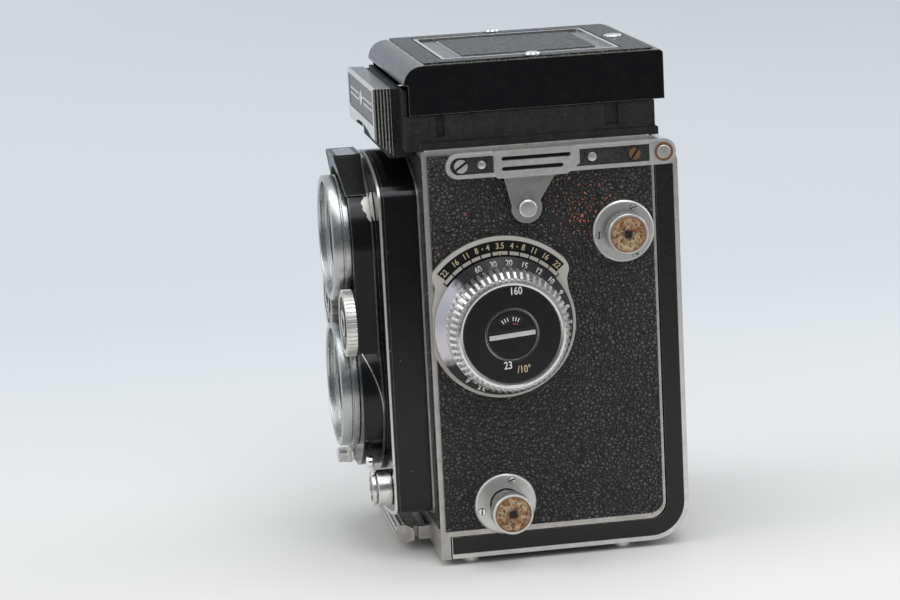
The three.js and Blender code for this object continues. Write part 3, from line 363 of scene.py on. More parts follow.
class Shader(Nodes):
    """A new material and its nodes."""

    def __init__(self, name, metallic=0.0, coat=0.0):
        self.material = bpy.data.materials.new(name)
        self.material.use_nodes = True
        super().__init__(self.material.node_tree)
        self.surface = self.tree.nodes["Principled BSDF"]
        self.set("Metallic", metallic)
        self.set("Coat Weight", coat)
        self.set("Coat Roughness", 0.12)
        place = self.add("TexCoord").outputs["Object"]
        self.place = self.add("VectorMath", {0: place, "Scale": 1 / MM}, operation="SCALE").outputs[0]

    def set(self, name, value):
        self.join(self.surface.inputs[name], value)

    def noise(self, scale, detail, stretch=(1, 1, 1), distortion=0.0, shift=(0, 0, 0)):
        place = self.add("Mapping", {"Vector": self.place, "Scale": stretch, "Location": shift}).outputs[0]
        spread = {"Detail": detail, "Roughness": 0.55, "Distortion": distortion}
        return self.add("TexNoise", {"Vector": place, "Scale": scale, **spread}).outputs["Fac"]

    def bump(self, height, distance, strength=1.0, below=None):
        inputs = {"Height": height, "Distance": distance * MM, "Strength": strength}
        if below is not None:
            inputs["Normal"] = below
        return self.add("Bump", inputs).outputs["Normal"]

    def edges(self, radius, low, high, scale):
        """1 on outer edges and in corners, 0 on flat faces, broken up by noise."""
        rounded_normal = self.add("Bevel", {"Radius": radius * MM}, samples=4).outputs[0]
        flat_normal = self.add("NewGeometry").outputs["Normal"]
        normals = {0: rounded_normal, 1: flat_normal}
        alike = self.add("VectorMath", normals, operation="DOT_PRODUCT").outputs[1]
        broken = self.times(self.minus(1.0, alike), self.ramp(self.noise(scale, 4), 0.3, 0.65, 0.15, 1.6))
        return self.ramp(broken, low, high)

    def axes(self):
        """The x, y and z of a point, in millimetres."""
        return self.add("SeparateXYZ", {0: self.place}).outputs

    def away(self, y, z, centre_y, centre_z):
        """How far a point is from a line along X."""
        squares = []
        for value, middle_value in ((y, centre_y), (z, centre_z + FOOT)):
            offset = self.math("ABSOLUTE", self.minus(value, middle_value))
            squares.append(self.math("POWER", offset, 2.0))
        return self.math("SQRT", self.plus(*squares))


def leather(name, cell, depth, base, patches=()):
    """Pebbled black leather: domed cells, with valleys darkened by painted shade and tops lightened by
    painted light.
    In patches of (y, z, reach, strength) single cells are worn down to brown."""
    s = Shader(name)
    wobble = s.add("TexNoise", {"Vector": s.place, "Scale": 0.8 / cell, "Detail": 2.0}).outputs["Color"]
    shift = s.add("VectorMath", {0: wobble, "Scale": 0.75 * cell}, operation="SCALE").outputs[0]
    place = s.add("VectorMath", {0: s.place, 1: shift}, operation="ADD").outputs[0]
    scaled = {"Vector": place, "Scale": 1 / cell, "Randomness": 1.0}
    gap = s.add("TexVoronoi", scaled, feature="DISTANCE_TO_EDGE").outputs["Distance"]
    own = s.add("SeparateColor", {0: s.add("TexVoronoi", scaled).outputs["Color"]}).outputs[0]
    dome = s.ramp(gap, 0.0, 0.42, smooth=True)
    height = s.plus(s.times(dome, s.ramp(own, 0.0, 1.0, 0.65, 1.1)), s.times(s.noise(2.6 / cell, 4), 0.3))
    broad = s.noise(0.06, 3, shift=(3, 11, 5))
    top = (base * 2.6, base * 2.5, base * 2.4)
    pale = (base * 6.0, base * 5.7, base * 5.2)
    # painted shade and light: valleys near black, cell tops lighter
    colour = s.mix(s.ramp(dome, 0.15, 0.9), (base * 0.08,) * 3, top)
    colour = s.mix(s.times(s.ramp(broad, 0.45, 0.75, 0.0, 0.5), dome), colour, pale)
    if patches:
        _, y, z = s.axes()
        near = s.ramp(s.noise(0.05, 3, shift=(7, 2, 9)), 0.55, 0.8, 0.0, 0.12)
        for centre_y, centre_z, reach, strength in patches:
            away = s.away(y, z, centre_y, centre_z)
            near = s.math("MAXIMUM", near, s.ramp(away, 0.0, reach, strength, 0.0))
        worn_cell = s.plus(own, s.times(s.minus(s.noise(0.3, 3), 0.5), 0.9))
        share = s.times(s.ramp(s.minus(near, worn_cell), -0.12, 0.06), s.ramp(dome, 0.35, 0.8))
        tint = s.mix(s.ramp(near, 0.25, 0.75), (0.075, 0.032, 0.02), (0.56, 0.12, 0.02))
        colour = s.mix(s.times(share, 0.9), colour, tint)
    s.set("Base Color", colour)
    s.set("Roughness", s.ramp(s.noise(0.5, 4), 0.3, 0.75, 0.24, 0.42))
    s.set("Specular IOR Level", s.ramp(dome, 0.0, 0.6, 0.4, 1.0))
    fine = s.bump(s.noise(9 / cell, 3), 0.04 * depth, 0.6)
    s.set("Normal", s.bump(height, depth, 1.0, fine))
    return s.material


def enamel(name, base=(0.004, 0.004, 0.005), roughness=0.16, wear=0.6, gloss=0.3):
    """Black enamel over metal, rubbed through on its edges, with dust and fine marks."""
    s = Shader(name)
    worn = s.times(s.edges(0.35, 0.03, 0.2, 0.9), wear)
    chips = s.ramp(s.noise(0.55, 5, shift=(5, 5, 1)), 0.73, 0.76)
    worn = s.math("MAXIMUM", worn, s.times(chips, 0.8 * wear))
    dust = s.ramp(s.noise(0.35, 5, shift=(2, 8, 3)), 0.45, 0.8, 0.0, 0.1)
    colour = s.mix(dust, base, (0.05, 0.047, 0.043))
    s.set("Base Color", s.mix(worn, colour, (0.52, 0.49, 0.45)))
    s.set("Metallic", worn)
    rough = s.ramp(s.noise(0.8, 5), 0.3, 0.75, roughness * 0.7, roughness * 1.7)
    s.set("Roughness", s.blend(worn, rough, 0.36))
    s.set("Specular IOR Level", gloss)
    s.set("Coat Weight", s.ramp(worn, 0.0, 1.0, 0.35 * gloss, 0.0))
    s.set("Normal", s.bump(s.noise(1.6, 3), 0.02, 0.5))
    return s.material


def metal(name, base, roughness, spread=0.12, grime=(0.10, 0.075, 0.05), dirt=0.35, marks=0.5,
          stretch=(1, 1, 1), edge_tint=None):
    """Bare or plated metal with smudges, hairline marks, brown dirt and, if asked, rubbed edges."""
    s = Shader(name, metallic=1.0)
    smudge = s.noise(0.22, 4, shift=(4, 1, 7))
    fine = s.noise(2.4, 5, stretch)
    spots = s.ramp(s.noise(0.9, 5, shift=(9, 3, 4)), 0.6, 0.72, 0.0, dirt)
    film = s.ramp(smudge, 0.4, 0.75, 0.0, dirt * 0.45)
    dirtied = s.math("MAXIMUM", spots, film)
    colour = s.mix(s.ramp(fine, 0.35, 0.7, 0.0, 0.14), base, tuple(c * 0.7 for c in base))
    colour = s.mix(dirtied, colour, grime)
    if edge_tint:
        colour = s.mix(s.edges(0.45, 0.04, 0.25, 0.7), colour, edge_tint)
    s.set("Base Color", colour)
    s.set("Metallic", s.ramp(spots, 0.0, 1.0, 1.0, 0.45))
    rough = s.ramp(s.noise(0.7, 5, shift=(1, 2, 3)), 0.3, 0.75, roughness - spread / 2, roughness + spread)
    s.set("Roughness", s.plus(rough, s.times(dirtied, 0.3)))
    lines = s.noise(1.2, 4, (9, 9, 0.5) if marks else stretch)
    s.set("Normal", s.bump(s.plus(fine, lines), 0.012 * marks, 0.5))
    return s.material


def wrinkle(name, base, size=0.42, depth=0.2):
    """Matt black wrinkle paint with rust in a few patches."""
    s = Shader(name)
    grain = s.noise(1 / size, 5, distortion=0.6)
    cells = s.add("TexVoronoi", {"Vector": s.place, "Scale": 0.8 / size}).outputs["Distance"]
    height = s.plus(grain, s.times(cells, 0.5))
    dust = s.ramp(s.noise(0.3, 5, shift=(3, 3, 8)), 0.4, 0.8, 0.0, 0.5)
    colour = s.mix(s.ramp(grain, 0.4, 0.6), (base * 0.3,) * 3, (base * 2.8,) * 3)
    colour = s.mix(dust, colour, (base * 4.2, base * 3.9, base * 3.5))
    rust = s.ramp(s.noise(0.5, 4, shift=(6, 2, 2)), 0.66, 0.74, 0.0, 0.6)
    s.set("Base Color", s.mix(rust, colour, (0.16, 0.06, 0.025)))
    s.set("Roughness", s.ramp(grain, 0.3, 0.7, 0.5, 0.8))
    s.set("Specular IOR Level", 0.3)
    s.set("Normal", s.bump(height, depth))
    return s.material


def rusty(name, centre, r):
    """Corroded end disc: beige with brown patches, rust at the rim, a dark middle."""
    s = Shader(name, metallic=0.25)
    _, y, z = s.axes()
    away = s.away(y, z, *centre)
    broad = s.noise(0.45, 5, distortion=1.2)
    fine = s.noise(1.5, 5, shift=(3, 1, 6))
    colour = s.mix(s.ramp(broad, 0.42, 0.6), (0.54, 0.42, 0.25), (0.27, 0.11, 0.035))
    colour = s.mix(s.ramp(fine, 0.5, 0.62), colour, (0.09, 0.04, 0.018))
    rim = s.times(s.ramp(away, 0.78 * r, r), s.ramp(fine, 0.3, 0.6, 0.3, 1.0))
    colour = s.mix(rim, colour, (0.33, 0.12, 0.03))
    core = s.ramp(s.plus(away, s.times(broad, 1.2)), 0.28 * r, 0.52 * r, 0.95, 0.0)
    s.set("Base Color", s.mix(core, colour, (0.035, 0.02, 0.012)))
    s.set("Roughness", s.ramp(fine, 0.3, 0.7, 0.35, 0.75))
    s.set("Normal", s.bump(s.plus(broad, fine), 0.14))
    return s.material


def paint(name, base, roughness=0.45, stain=(0.35, 0.25, 0.14), stained=0.25, depth=0.02):
    """Plain paint with a soft stain and a slight grain."""
    s = Shader(name)
    share = s.ramp(s.noise(0.5, 5, shift=(2, 6, 1)), 0.5, 0.75, 0.0, stained)
    s.set("Base Color", s.mix(share, base, stain))
    s.set("Roughness", s.ramp(s.noise(1.1, 4), 0.3, 0.7, roughness * 0.75, roughness * 1.3))
    s.set("Normal", s.bump(s.noise(3.5, 4), depth, 0.6))
    return s.material


def distance_ring(name, centre, facing):
    """Black enamel with a painted reflection: towards one angle it gives way smoothly to lilac-grey metal
    colour, standing for the bright sky mirrored in it.
    """
    s = Shader(name)
    _, y, z = s.axes()
    angle = s.math("ARCTAN2", s.minus(z, centre[1] + FOOT), s.minus(y, centre[0]))
    towards = s.math("COSINE", s.minus(angle, math.radians(facing)))
    # painted reflection of the bright sky on the black ring
    painted_reflection = s.ramp(s.plus(towards, s.times(s.noise(0.6, 4), 0.12)), 0.80, 0.93, smooth=True)
    s.set("Base Color", s.mix(painted_reflection, (0.010, 0.010, 0.011), (0.58, 0.56, 0.60)))
    s.set("Metallic", s.ramp(painted_reflection, 0.0, 1.0, 0.0, 0.9))
    s.set("Roughness", s.ramp(s.noise(0.8, 5), 0.3, 0.7, 0.26, 0.42))
    s.set("Specular IOR Level", 0.35)
    s.set("Normal", s.bump(s.noise(1.8, 4), 0.02, 0.5))
    return s.material


def coated_glass(name, base, tint):
    """Dark lens glass whose coating tints what it mirrors, with a painted sheen that lightens its colour at
    grazing angles.
    """
    s = Shader(name, coat=1.0)
    # painted sheen: lighter colour at grazing angles
    facing = s.add("LayerWeight", {"Blend": 0.35}).outputs["Facing"]
    s.set("Base Color", s.mix(facing, base, tuple(c * 2.2 for c in base)))
    s.set("Coat Tint", tint)
    s.set("Coat Roughness", 0.02)
    s.set("Specular IOR Level", 0.8)
    s.set("Specular Tint", tint)
    s.set("Roughness", s.ramp(s.noise(0.4, 5), 0.45, 0.8, 0.04, 0.14))
    return s.material


SIDE_LEATHER = leather("grain_leather", 1.15, 0.85, 0.012, (
    (10, 101, 15, 1.0), (3, 106, 11, 0.55), (-27, 102, 11, 0.42), (-34, 92, 7, 0.5), (12, 20, 8, 0.3),
    (-30, 48, 9, 0.25), (22, 70, 9, 0.22), (-2, 36, 12, 0.2)))
PLAIN_LEATHER = leather("plain_leather", 1.15, 0.8, 0.010)
FINE_LEATHER = leather("lid_leather", 0.8, 0.4, 0.016)
INSET_LEATHER = leather("inset_leather", 0.4, 0.12, 0.008)
ENAMEL = enamel("black_enamel")
# darker, duller copy of the black enamel: painted shade where the name plate's dark underside is mirrored
PAINTED_SHADE_ENAMEL = enamel("painted_shade_enamel", (0.003, 0.003, 0.003), 0.2, 0.6, gloss=0.08)
BAND_ENAMEL = enamel("band_enamel", (0.011, 0.011, 0.011), 0.3, 0.5)
DIAL_ENAMEL = enamel("dial_enamel", (0.006, 0.006, 0.007), 0.24, 0.2)
BLACK_PLATE = enamel("black_plate", (0.006, 0.006, 0.006), 0.4, 0.2, gloss=0.2)
WRINKLE = wrinkle("wrinkle_black", 0.0088)
# matt black of the inner parts, also used as painted shade in slots, holes and grooves
INNER_BLACK_AND_PAINTED_SHADE = wrinkle("inner_black", 0.008, 0.5, 0.03)
FRAME_METAL = metal("body_metal", (0.58, 0.56, 0.53), 0.38, 0.16, dirt=0.5, edge_tint=(0.75, 0.72, 0.68))
RIM_METAL = metal("rim_metal", (0.78, 0.77, 0.75), 0.34, 0.16, dirt=0.3)
BEZEL_METAL = metal("bezel_metal", (0.50, 0.51, 0.505), 0.27, 0.08, dirt=0.15, marks=0.25, stretch=(1, 6, 1))
STRAP_CHROME = metal("strap_chrome", (0.88, 0.87, 0.85), 0.36, 0.1, (0.34, 0.22, 0.10), 0.3, 0.2,
                     edge_tint=(0.98, 0.97, 0.95))
CHROME = metal("chrome", (0.80, 0.80, 0.79), 0.24, 0.12, (0.25, 0.17, 0.08), 0.4, 0.35,
               edge_tint=(0.82, 0.74, 0.58))
BRIGHT = metal("bright_chrome", (0.86, 0.86, 0.86), 0.16, 0.08, (0.3, 0.22, 0.12), 0.2, 0.25)
SATIN = metal("satin_metal", (0.70, 0.69, 0.67), 0.38, 0.12, dirt=0.3, edge_tint=(0.8, 0.79, 0.76))
SPRING = metal("spring_steel", (0.47, 0.465, 0.45), 0.34, 0.14, dirt=0.35, edge_tint=(0.66, 0.64, 0.6))
BARED = metal("bared_alloy", (0.86, 0.84, 0.78), 0.55, 0.1, dirt=0.6)
RUSTY_SCREW = metal("rusty_screw", (0.36, 0.20, 0.11), 0.45, 0.14, (0.10, 0.05, 0.02), 0.5)
BRASS = metal("gear_brass", (0.62, 0.44, 0.19), 0.28, 0.14, (0.12, 0.07, 0.03), 0.35)
KNURL_METAL = metal("knurl_metal", (0.86, 0.85, 0.82), 0.3, 0.12, (0.42, 0.32, 0.18), 0.65, 0.3,
                    edge_tint=(0.88, 0.87, 0.85))
LILAC_METAL = metal("ring_metal", (0.62, 0.60, 0.64), 0.22, 0.1, dirt=0.3)
CREAM = paint("cream_figures", (0.58, 0.47, 0.30), 0.4)
WHITE = paint("white_figures", (0.80, 0.79, 0.75), 0.4)
RED = paint("red_mark", (0.42, 0.05, 0.04), 0.4)
SCALE_PAINT = paint("scale_plate", (0.51, 0.49, 0.445), 0.38, (0.45, 0.30, 0.12), 0.3)
STIPPLE = paint("stippled_field", (0.22, 0.22, 0.225), 0.5, (0.1, 0.1, 0.1), 0.5, 0.25)
VIEW_GLASS = coated_glass("lens_glass", (0.006, 0.007, 0.016), (0.72, 0.66, 1.0))
WINDOW_GLASS = coated_glass("window_glass", (0.02, 0.021, 0.023), (0.35, 0.36, 0.38))
GROUND = paint("ground_glass", (0.62, 0.64, 0.64), 0.55, (0.4, 0.4, 0.38), 0.3)
MIRROR = metal("mirror_glass", (0.88, 0.89, 0.9), 0.04, 0.03, dirt=0.1, marks=0.1)

# ------------------------------------------------------------------ driving dimensions from the frame
LEATHER_LOW, LEATHER_HIGH = box("left_leather")
FOCUS = middle("focus_dial")
UPPER = middle("upper_spool_knob")
LOWER = middle("lower_spool_knob")
CRANK = middle("crank_flange")
VIEWING = middle("viewing_bezel")
TAKING = middle("taking_bezel")
HINGE_Y, HINGE_R = 32.6, 3.5  # hinge barrel of the back
STRAP_Z = 116.8  # centre height of the strap strips
STRAP_R = 3.75
STRIP_FRONT = -27.6
BODY_HALF = 38  # half the casting's width
BODY_FRONT = -38.35  # leather face of the casting's front
STRIP_LOW = 39.3  # face of the strips' inset
WHEEL = (18.8, 69.5)  # axis of the setting wheel on the knob side, which the other one mirrors
SOCKET = (22, 19.4)  # axis of the flash socket
RELEASE = (-22.5, 20)  # axis of the shutter release
TRIPOD = (0, -6.5)
LID_BUTTONS = ((-32.6, -3.4), (32.6, -3.4))
LID_CATCH = (0, 27.6)
SCALE_R = 26.2  # wide part of the depth-of-field plate
SCALE_RING_R = 21.5
FLANGE_R = 9.1


def yz(point):
    return (point.y, point.z)


def xz(point):
    return (point.x, point.z)


# ------------------------------------------------------------------ body, leathers and side plates
def side_panel_outline():
    """The leather panel of a side, with its rear lower corner rounded."""
    low, high = LEATHER_LOW, LEATHER_HIGH
    corner = 4
    return ([(low.y, low.z)] + arc((high.y - corner, low.z + corner), corner, -90, 0, 10)
            + [(high.y, high.z), (low.y, high.z)])


def scale_shape(grow=0.0):
    """The depth-of-field plate, a ring with a wider sector on top, from the sector's right end."""
    centre = yz(FOCUS)
    wide, ring = SCALE_R + grow, SCALE_RING_R + grow
    flank = wide - 2.4

    def bend(*path, steps):
        return curve(*[polar(centre, r, angle) for r, angle in path], steps)

    left_corner = bend((wide, 136), (wide - 0.1, 143), (flank, 145.5), steps=6)
    left_dip = bend((flank, 145.5), (ring + 0.7, 149), (ring, 160), steps=8)
    right_dip = bend((ring, 20), (ring + 0.7, 31), (flank, 34.5), steps=8)
    right_corner = bend((flank, 34.5), (wide - 0.1, 37), (wide, 44), steps=6)
    return (arc(centre, wide, 44, 136, 64) + left_corner[1:] + left_dip[1:]
            + arc(centre, ring, 160, 380, 110)[1:] + right_dip[1:] + right_corner[1:-1])


def side_leathers():
    """Side panels with room for their fittings. The right one is made as a left one, then mirrored."""
    focus_side = [scale_shape(0.25), circle(yz(UPPER), FLANGE_R + 0.2), circle(yz(LOWER), FLANGE_R + 0.2)]
    crank_side = [circle(yz(CRANK), 14.2), circle(yz(middle("counter_window")), 6.0, 64)]
    strip = stadium(STRIP_FRONT, 60, STRAP_Z, STRAP_R + 0.25)
    for hand, look, rooms in (("left", SIDE_LEATHER, focus_side), ("right", PLAIN_LEATHER, crank_side)):
        panel = Shells().prism("x", side_panel_outline(), LEATHER_LOW.x, LEATHER_HIGH.x, look)
        panel.cut(*[Shells().prism("x", room, *ROOM) for room in [strip, *rooms]])
        if hand == "right":
            for vertex in panel.mesh.verts:
                vertex.co.x = -vertex.co.x
        piece(f"leather_{hand}", panel, f"{hand}_leather", 0.2)


def front_leather():
    """Leather on the casting's front flange, round the lens board."""
    outline = rounded(-36.8, 36.8, 9, 119.6, 1.2)
    body = Shells().prism("y", outline, BODY_FRONT, -38.05, PLAIN_LEATHER, holes=[apron_outline(-0.7)])
    finish("leather_front", body, "camera_body")


def depth_of_field_plate():
    centre = yz(FOCUS)
    low, high = box("depth_of_field_plate")
    face = high.x - 0.35
    inked, raised = face + 0.12, face + 0.14
    rim_edge = 0.75 - BODY_HALF
    plate = Shells().prism("x", scale_shape(), low.x, face, SCALE_PAINT)
    plate.cut(
        Shells().disc("x", centre, 3.9, *ROOM),
        Shells().block(ROOM, (-80, rim_edge), (0, 120)),
    )
    for r0, r1, half, height in ((21.9, 25.0, 48.4, 0.06), (19.0, 21.9, 51.6, 0.05)):
        field = sector(centre, r0, r1, 90 - half, 90 + half, 64)
        plate.prism("x", field, face - 0.1, face + height, BLACK_PLATE)
    stops = ["22", "16", "11", "8", "4", "3.5", "4", "8", "11", "16", "22"]
    places = [44.9, 34.5, 25.2, 17.1, 8.7, 0, -8.7, -17.1, -25.2, -34.5, -44.9]
    figure_r = 23.35
    for words, turn in zip(stops, places):
        plate.text(words, 2.45, polar(centre, figure_r, 90 + turn), turn, face, inked, CREAM, font_scale=0.86)
    for turn in (12.6, -12.6):
        plate.disc("x", polar(centre, figure_r, 90 + turn), 0.22, face, inked, CREAM, 16)
    marks = [-51, -41.5, -32, -23.5, -15.4, -7, 7, 15.4, 23.5, 32, 41.5, 51]
    spans = [(start + 0.55, end - 0.55) for start, end in zip(marks, marks[1:])]
    spans[5:6] = [(-5.9, -1.4), (1.4, 5.9)]  # the middle bar is parted by the index
    for start, end in spans:
        bar = sector(centre, 20.75, 21.75, 90 + start, 90 + end, 10)
        plate.prism("x", bar, face, raised, SCALE_PAINT)
    index = [(centre[0] + u, centre[1] + v) for u, v in ((-0.7, 21.8), (0, 20.3), (0.7, 21.8))]
    plate.prism("x", index, face, raised, CREAM)
    piece("scale_plate", plate, "depth_of_field_plate", 0.1)


def spool_flange(name, at, node, turn):
    """Turned flange with three screws."""
    low, high = box(node)
    face = high.x - 0.45
    shape = Shells().turned("x", yz(at), [
        (4.7, low.x), (FLANGE_R, low.x), (FLANGE_R, face - 0.4), (FLANGE_R - 0.5, face),
        (6.3, face), (4.9, face), (4.7, face - 0.2),
    ], SATIN, closed=True)
    for number, angle in enumerate((66, 185, 295)):
        spot = polar(yz(at), 7.45, angle + turn)
        # painted shade: a black ring round each screw head
        shape.disc("x", spot, 1.15, face - 0.1, face + 0.03, INNER_BLACK_AND_PAINTED_SHADE, 32)
        shape.screw("x", spot, 1.0, face - 0.1, face + 0.25, 20 + 67 * number, BRIGHT)
    piece(name, shape, node, 0.06)


def spool_knob(name, at, node):
    """Knurled pull knob with a corroded end disc and a square socket."""
    low, high = box(node)
    end = high.x
    shoulder = low.x + 4.4
    shape = Shells().turned("x", yz(at), [
        (2.6, low.x), (2.6, shoulder), (4.3, shoulder), (4.3, end - 5), (5.1, end - 5), (5.1, end - 4.5),
    ], SATIN)
    shape.prism("x", knurled(yz(at), 54, 5.85, 6.1), end - 4.6, end - 0.9, SATIN)
    shape.turned("x", yz(at), [
        (5.2, end - 1.2), (6.0, end - 1.0), (6.0, end - 0.3), (5.8, end - 0.02), (5.35, end),
        (5.2, end - 0.3),
    ], SATIN, closed=True)
    corroded = rusty(f"corroded_{name}", yz(at), 5.2)
    shape.turned("x", yz(at), [(5.15, end - 0.9), (5.15, end - 0.3), (4.9, end - 0.2)], corroded)
    shape.tube("x", yz(at), 3.0, 3.4, end - 0.6, end - 0.1, corroded, 48)
    shape.tube("x", yz(at), 1.5, 1.95, end - 0.6, end - 0.02, corroded, 48)
    # painted shade: a black square stands in for the socket's hole
    square = [(at.y + u, at.z + v) for u, v in ((-1, -1), (1, -1), (1, 1), (-1, 1))]
    shape.prism("x", square, end - 0.5, end - 0.15, INNER_BLACK_AND_PAINTED_SHADE)
    piece(name, shape, node, 0.08)


def strap_fitting(name, node, side):
    """Strip with black inset, screws, hinge screw of the back and the bridge for the strap."""
    shape = Shells(side)
    step, face = 39.25, 39.7
    shape.prism("x", stadium(STRIP_FRONT, HINGE_Y, STRAP_Z, STRAP_R), 38.35, step, STRAP_CHROME)
    inset = STRAP_R - 1.25
    hole = [(28.4, STRAP_Z - inset), (28.4, STRAP_Z + inset)] + arc((STRIP_FRONT, STRAP_Z), inset, 90, 270)
    rim = stadium(STRIP_FRONT, HINGE_Y, STRAP_Z, STRAP_R - 0.4)
    shape.prism("x", rim, step - 0.05, face, STRAP_CHROME, holes=[hole])
    shape.prism("x", hole, step - 0.05, 39.33, INSET_LEATHER)
    shape.screw("x", (-27, STRAP_Z), 1.95, STRIP_LOW, 40.0, 35, STRAP_CHROME)
    shape.screw("x", (24, STRAP_Z), 1.75, STRIP_LOW, 39.9, 55, RUSTY_SCREW)
    for y, r in ((-20.9, 1.25), (11.5, 1.35)):
        rivet = [(r, STRIP_LOW), (r - 0.1, 39.65), (r - 0.55, 39.85), (0.2, 39.9)]
        shape.turned("x", (y, STRAP_Z), rivet, SATIN, steps=32)
    pivot = [(1.1, 36.2), (1.1, 39), (1.9, 39), (1.9, 40.1), (1.75, 40.22), (0.3, 40.24)]
    shape.turned("x", (HINGE_Y, STRAP_Z), pivot, SATIN, steps=48)
    shape.tube("x", (HINGE_Y, STRAP_Z), 2.05, 2.75, 39.4, 40.0, RUSTY_SCREW, 48)
    bridge = ([(-16.6, STRAP_Z - 4), (3.6, STRAP_Z - 4), (7.4, STRAP_Z - 1.2)]
              + arc((6.6, STRAP_Z + 3.2), 0.8, 0, 90, 6) + arc((-16.8, STRAP_Z + 3.2), 0.8, 90, 180, 6)
              + [(-17.6, STRAP_Z - 3)])
    slots = [stadium(-14.8, 4.2, STRAP_Z + 1.6, 0.6), stadium(-14.8, 2.0, STRAP_Z - 1.35, 0.6)]
    shape.prism("x", bridge, STRIP_LOW, 41.5, STRAP_CHROME, holes=slots)
    # painted shade: a black plate under the bridge darkens its slots
    painted_shade_behind_slots = rounded(-15.8, 5.2, STRAP_Z - 2.3, STRAP_Z + 2.5, 0.6)
    shape.prism("x", painted_shade_behind_slots, STRIP_LOW, 40.4, BLACK_PLATE)
    piece(name, shape, node, 0.16, 3)


def strap_spring(name, node, side):
    """Spring tongue with its stud, below the bridge."""
    shape = Shells(side)
    tip, r, low = (-8.3, 103.4), 4.5, 38.85
    tongue = [(0.4, STRAP_Z - 4.3), (-14.6, STRAP_Z - 4.3)] + arc(tip, r, 168, 386, 40)
    shape.prism("x", tongue, low, low + 0.75, SPRING)
    stud = [(1.9, low), (1.9, 40.4), (2.6, 40.7), (2.75, 41.1), (2.65, 41.6), (2.2, 41.95), (0.2, 42.05)]
    shape.turned("x", tip, stud, SATIN, steps=64)
    piece(name, shape, node, 0.14, 3)


# ------------------------------------------------------------------ hinged back
def cover_path(inset, start, top):
    """The back's L-shaped side, offset inwards: bottom, round corner, rear."""
    rear, round_r = 37.0, 11.5
    corner = arc((rear - round_r, round_r), round_r - inset, -90, 0, 24)
    return [(start, inset)] + corner + [(rear - inset, top)]


def rear_cover():
    start, top = -34.9, 114.0
    knuckle = [(HINGE_Y + HINGE_R, STRAP_Z), (30.2, 113.2)]
    skin = cover_path(0, start, top) + knuckle + cover_path(6.7, start, top - 1)[-2::-1]
    hollow = cover_path(2.0, start - 5, top - 2) + [(0, top - 2), (-60, 60)]
    shape = Shells().prism("x", skin, -BODY_HALF, BODY_HALF, ENAMEL)
    shape.cut(
        Shells().prism("x", hollow, -35.8, 35.8),
        Shells().disc("z", TRIPOD, 7, -5, 5),
    )
    shape.paint(RIM_METAL, lambda centre, normal: abs(normal.x) > 0.7 and abs(centre.x) > 37)
    shape.paint(INNER_BLACK_AND_PAINTED_SHADE, lambda centre, normal: abs(centre.x) < 37 and centre.y < 34.9 and centre.z > 2.01
                and abs(normal.x) < 0.7)
    band = cover_path(1.4, start + 0.2, 112.9) + cover_path(6.72, start + 0.2, 112.9)[::-1]
    for side in (-1, 1):
        shape.side = side
        shape.prism("x", band, 37.9, 38.12, BAND_ENAMEL)
    shape.turned("x", (HINGE_Y, STRAP_Z), [(HINGE_R, -36), (HINGE_R, 36)], RIM_METAL)
    foot = [(3.2, 0.3), (3.2, -1.1), (2.8, -1.8), (2.4, -FOOT + 0.02)]
    for x in (-33.5, 33.5):
        for y in (-29, 17):
            shape.turned("z", (x, y), foot, RIM_METAL, steps=48)
    piece("back_cover", shape, "rear_cover", 0.25, 3)


def rear_leather():
    low, high = box("rear_leather")
    shape = Shells().prism("y", rounded(low.x, high.x, low.z, high.z, 5), low.y, high.y, PLAIN_LEATHER)
    piece("leather_rear", shape, "rear_leather", 0.25)


def tripod_fitting():
    socket = Shells().turned("z", TRIPOD, [
        (3.2, -1.98), (3.6, -1.98), (3.9, -1.8), (4.4, -1.8), (4.6, -1.98), (9.2, -1.98),
        (9.5, -1.6), (9.5, -0.3), (6.6, -0.3), (6.6, 3.4), (3.2, 3.4),
    ], SATIN, closed=True)
    piece("tripod_seat", socket, "tripod_socket", 0.08)
    grip = knurled(TRIPOD, 60, 12.3, 12.8)
    ring = Shells().prism("z", grip, -1.6, -0.3, KNURL_METAL, holes=[circle(TRIPOD, 9.9)])
    ring.prism("z", rounded(-1.6, 1.6, -21.5, -18.2, 0.7), -1.6, -0.3, KNURL_METAL)
    piece("lock_ring", ring, "back_lock_ring", 0.1)


def back_latch():
    """Latch lever below the lens board, with ribs round its finger end."""
    end, r = (-46.2, 3.3), 2.9
    profile = [(-40.1, 4.4), (-43.2, 4.7)] + arc(end, r, 80, 272, 32) + [(-40.1, 1.4)]
    shape = Shells().prism("x", profile, -18, 18, FRAME_METAL)
    shape.cut(*[Shells().block((x - 1.9, x + 1.9), (-43, -30), (-9, 9)) for x in (-16.4, 16.4)])
    for angle in (88, 112, 136, 160):
        shape.disc("x", polar(end, r, angle), 0.42, -17.5, 17.5, FRAME_METAL, 20)
    shape.tube("x", (-40.1, 2.8), 1.1, 1.75, -14.3, 14.3, FRAME_METAL, 40)
    piece("latch_lever", shape, "back_latch", 0.3, 3)


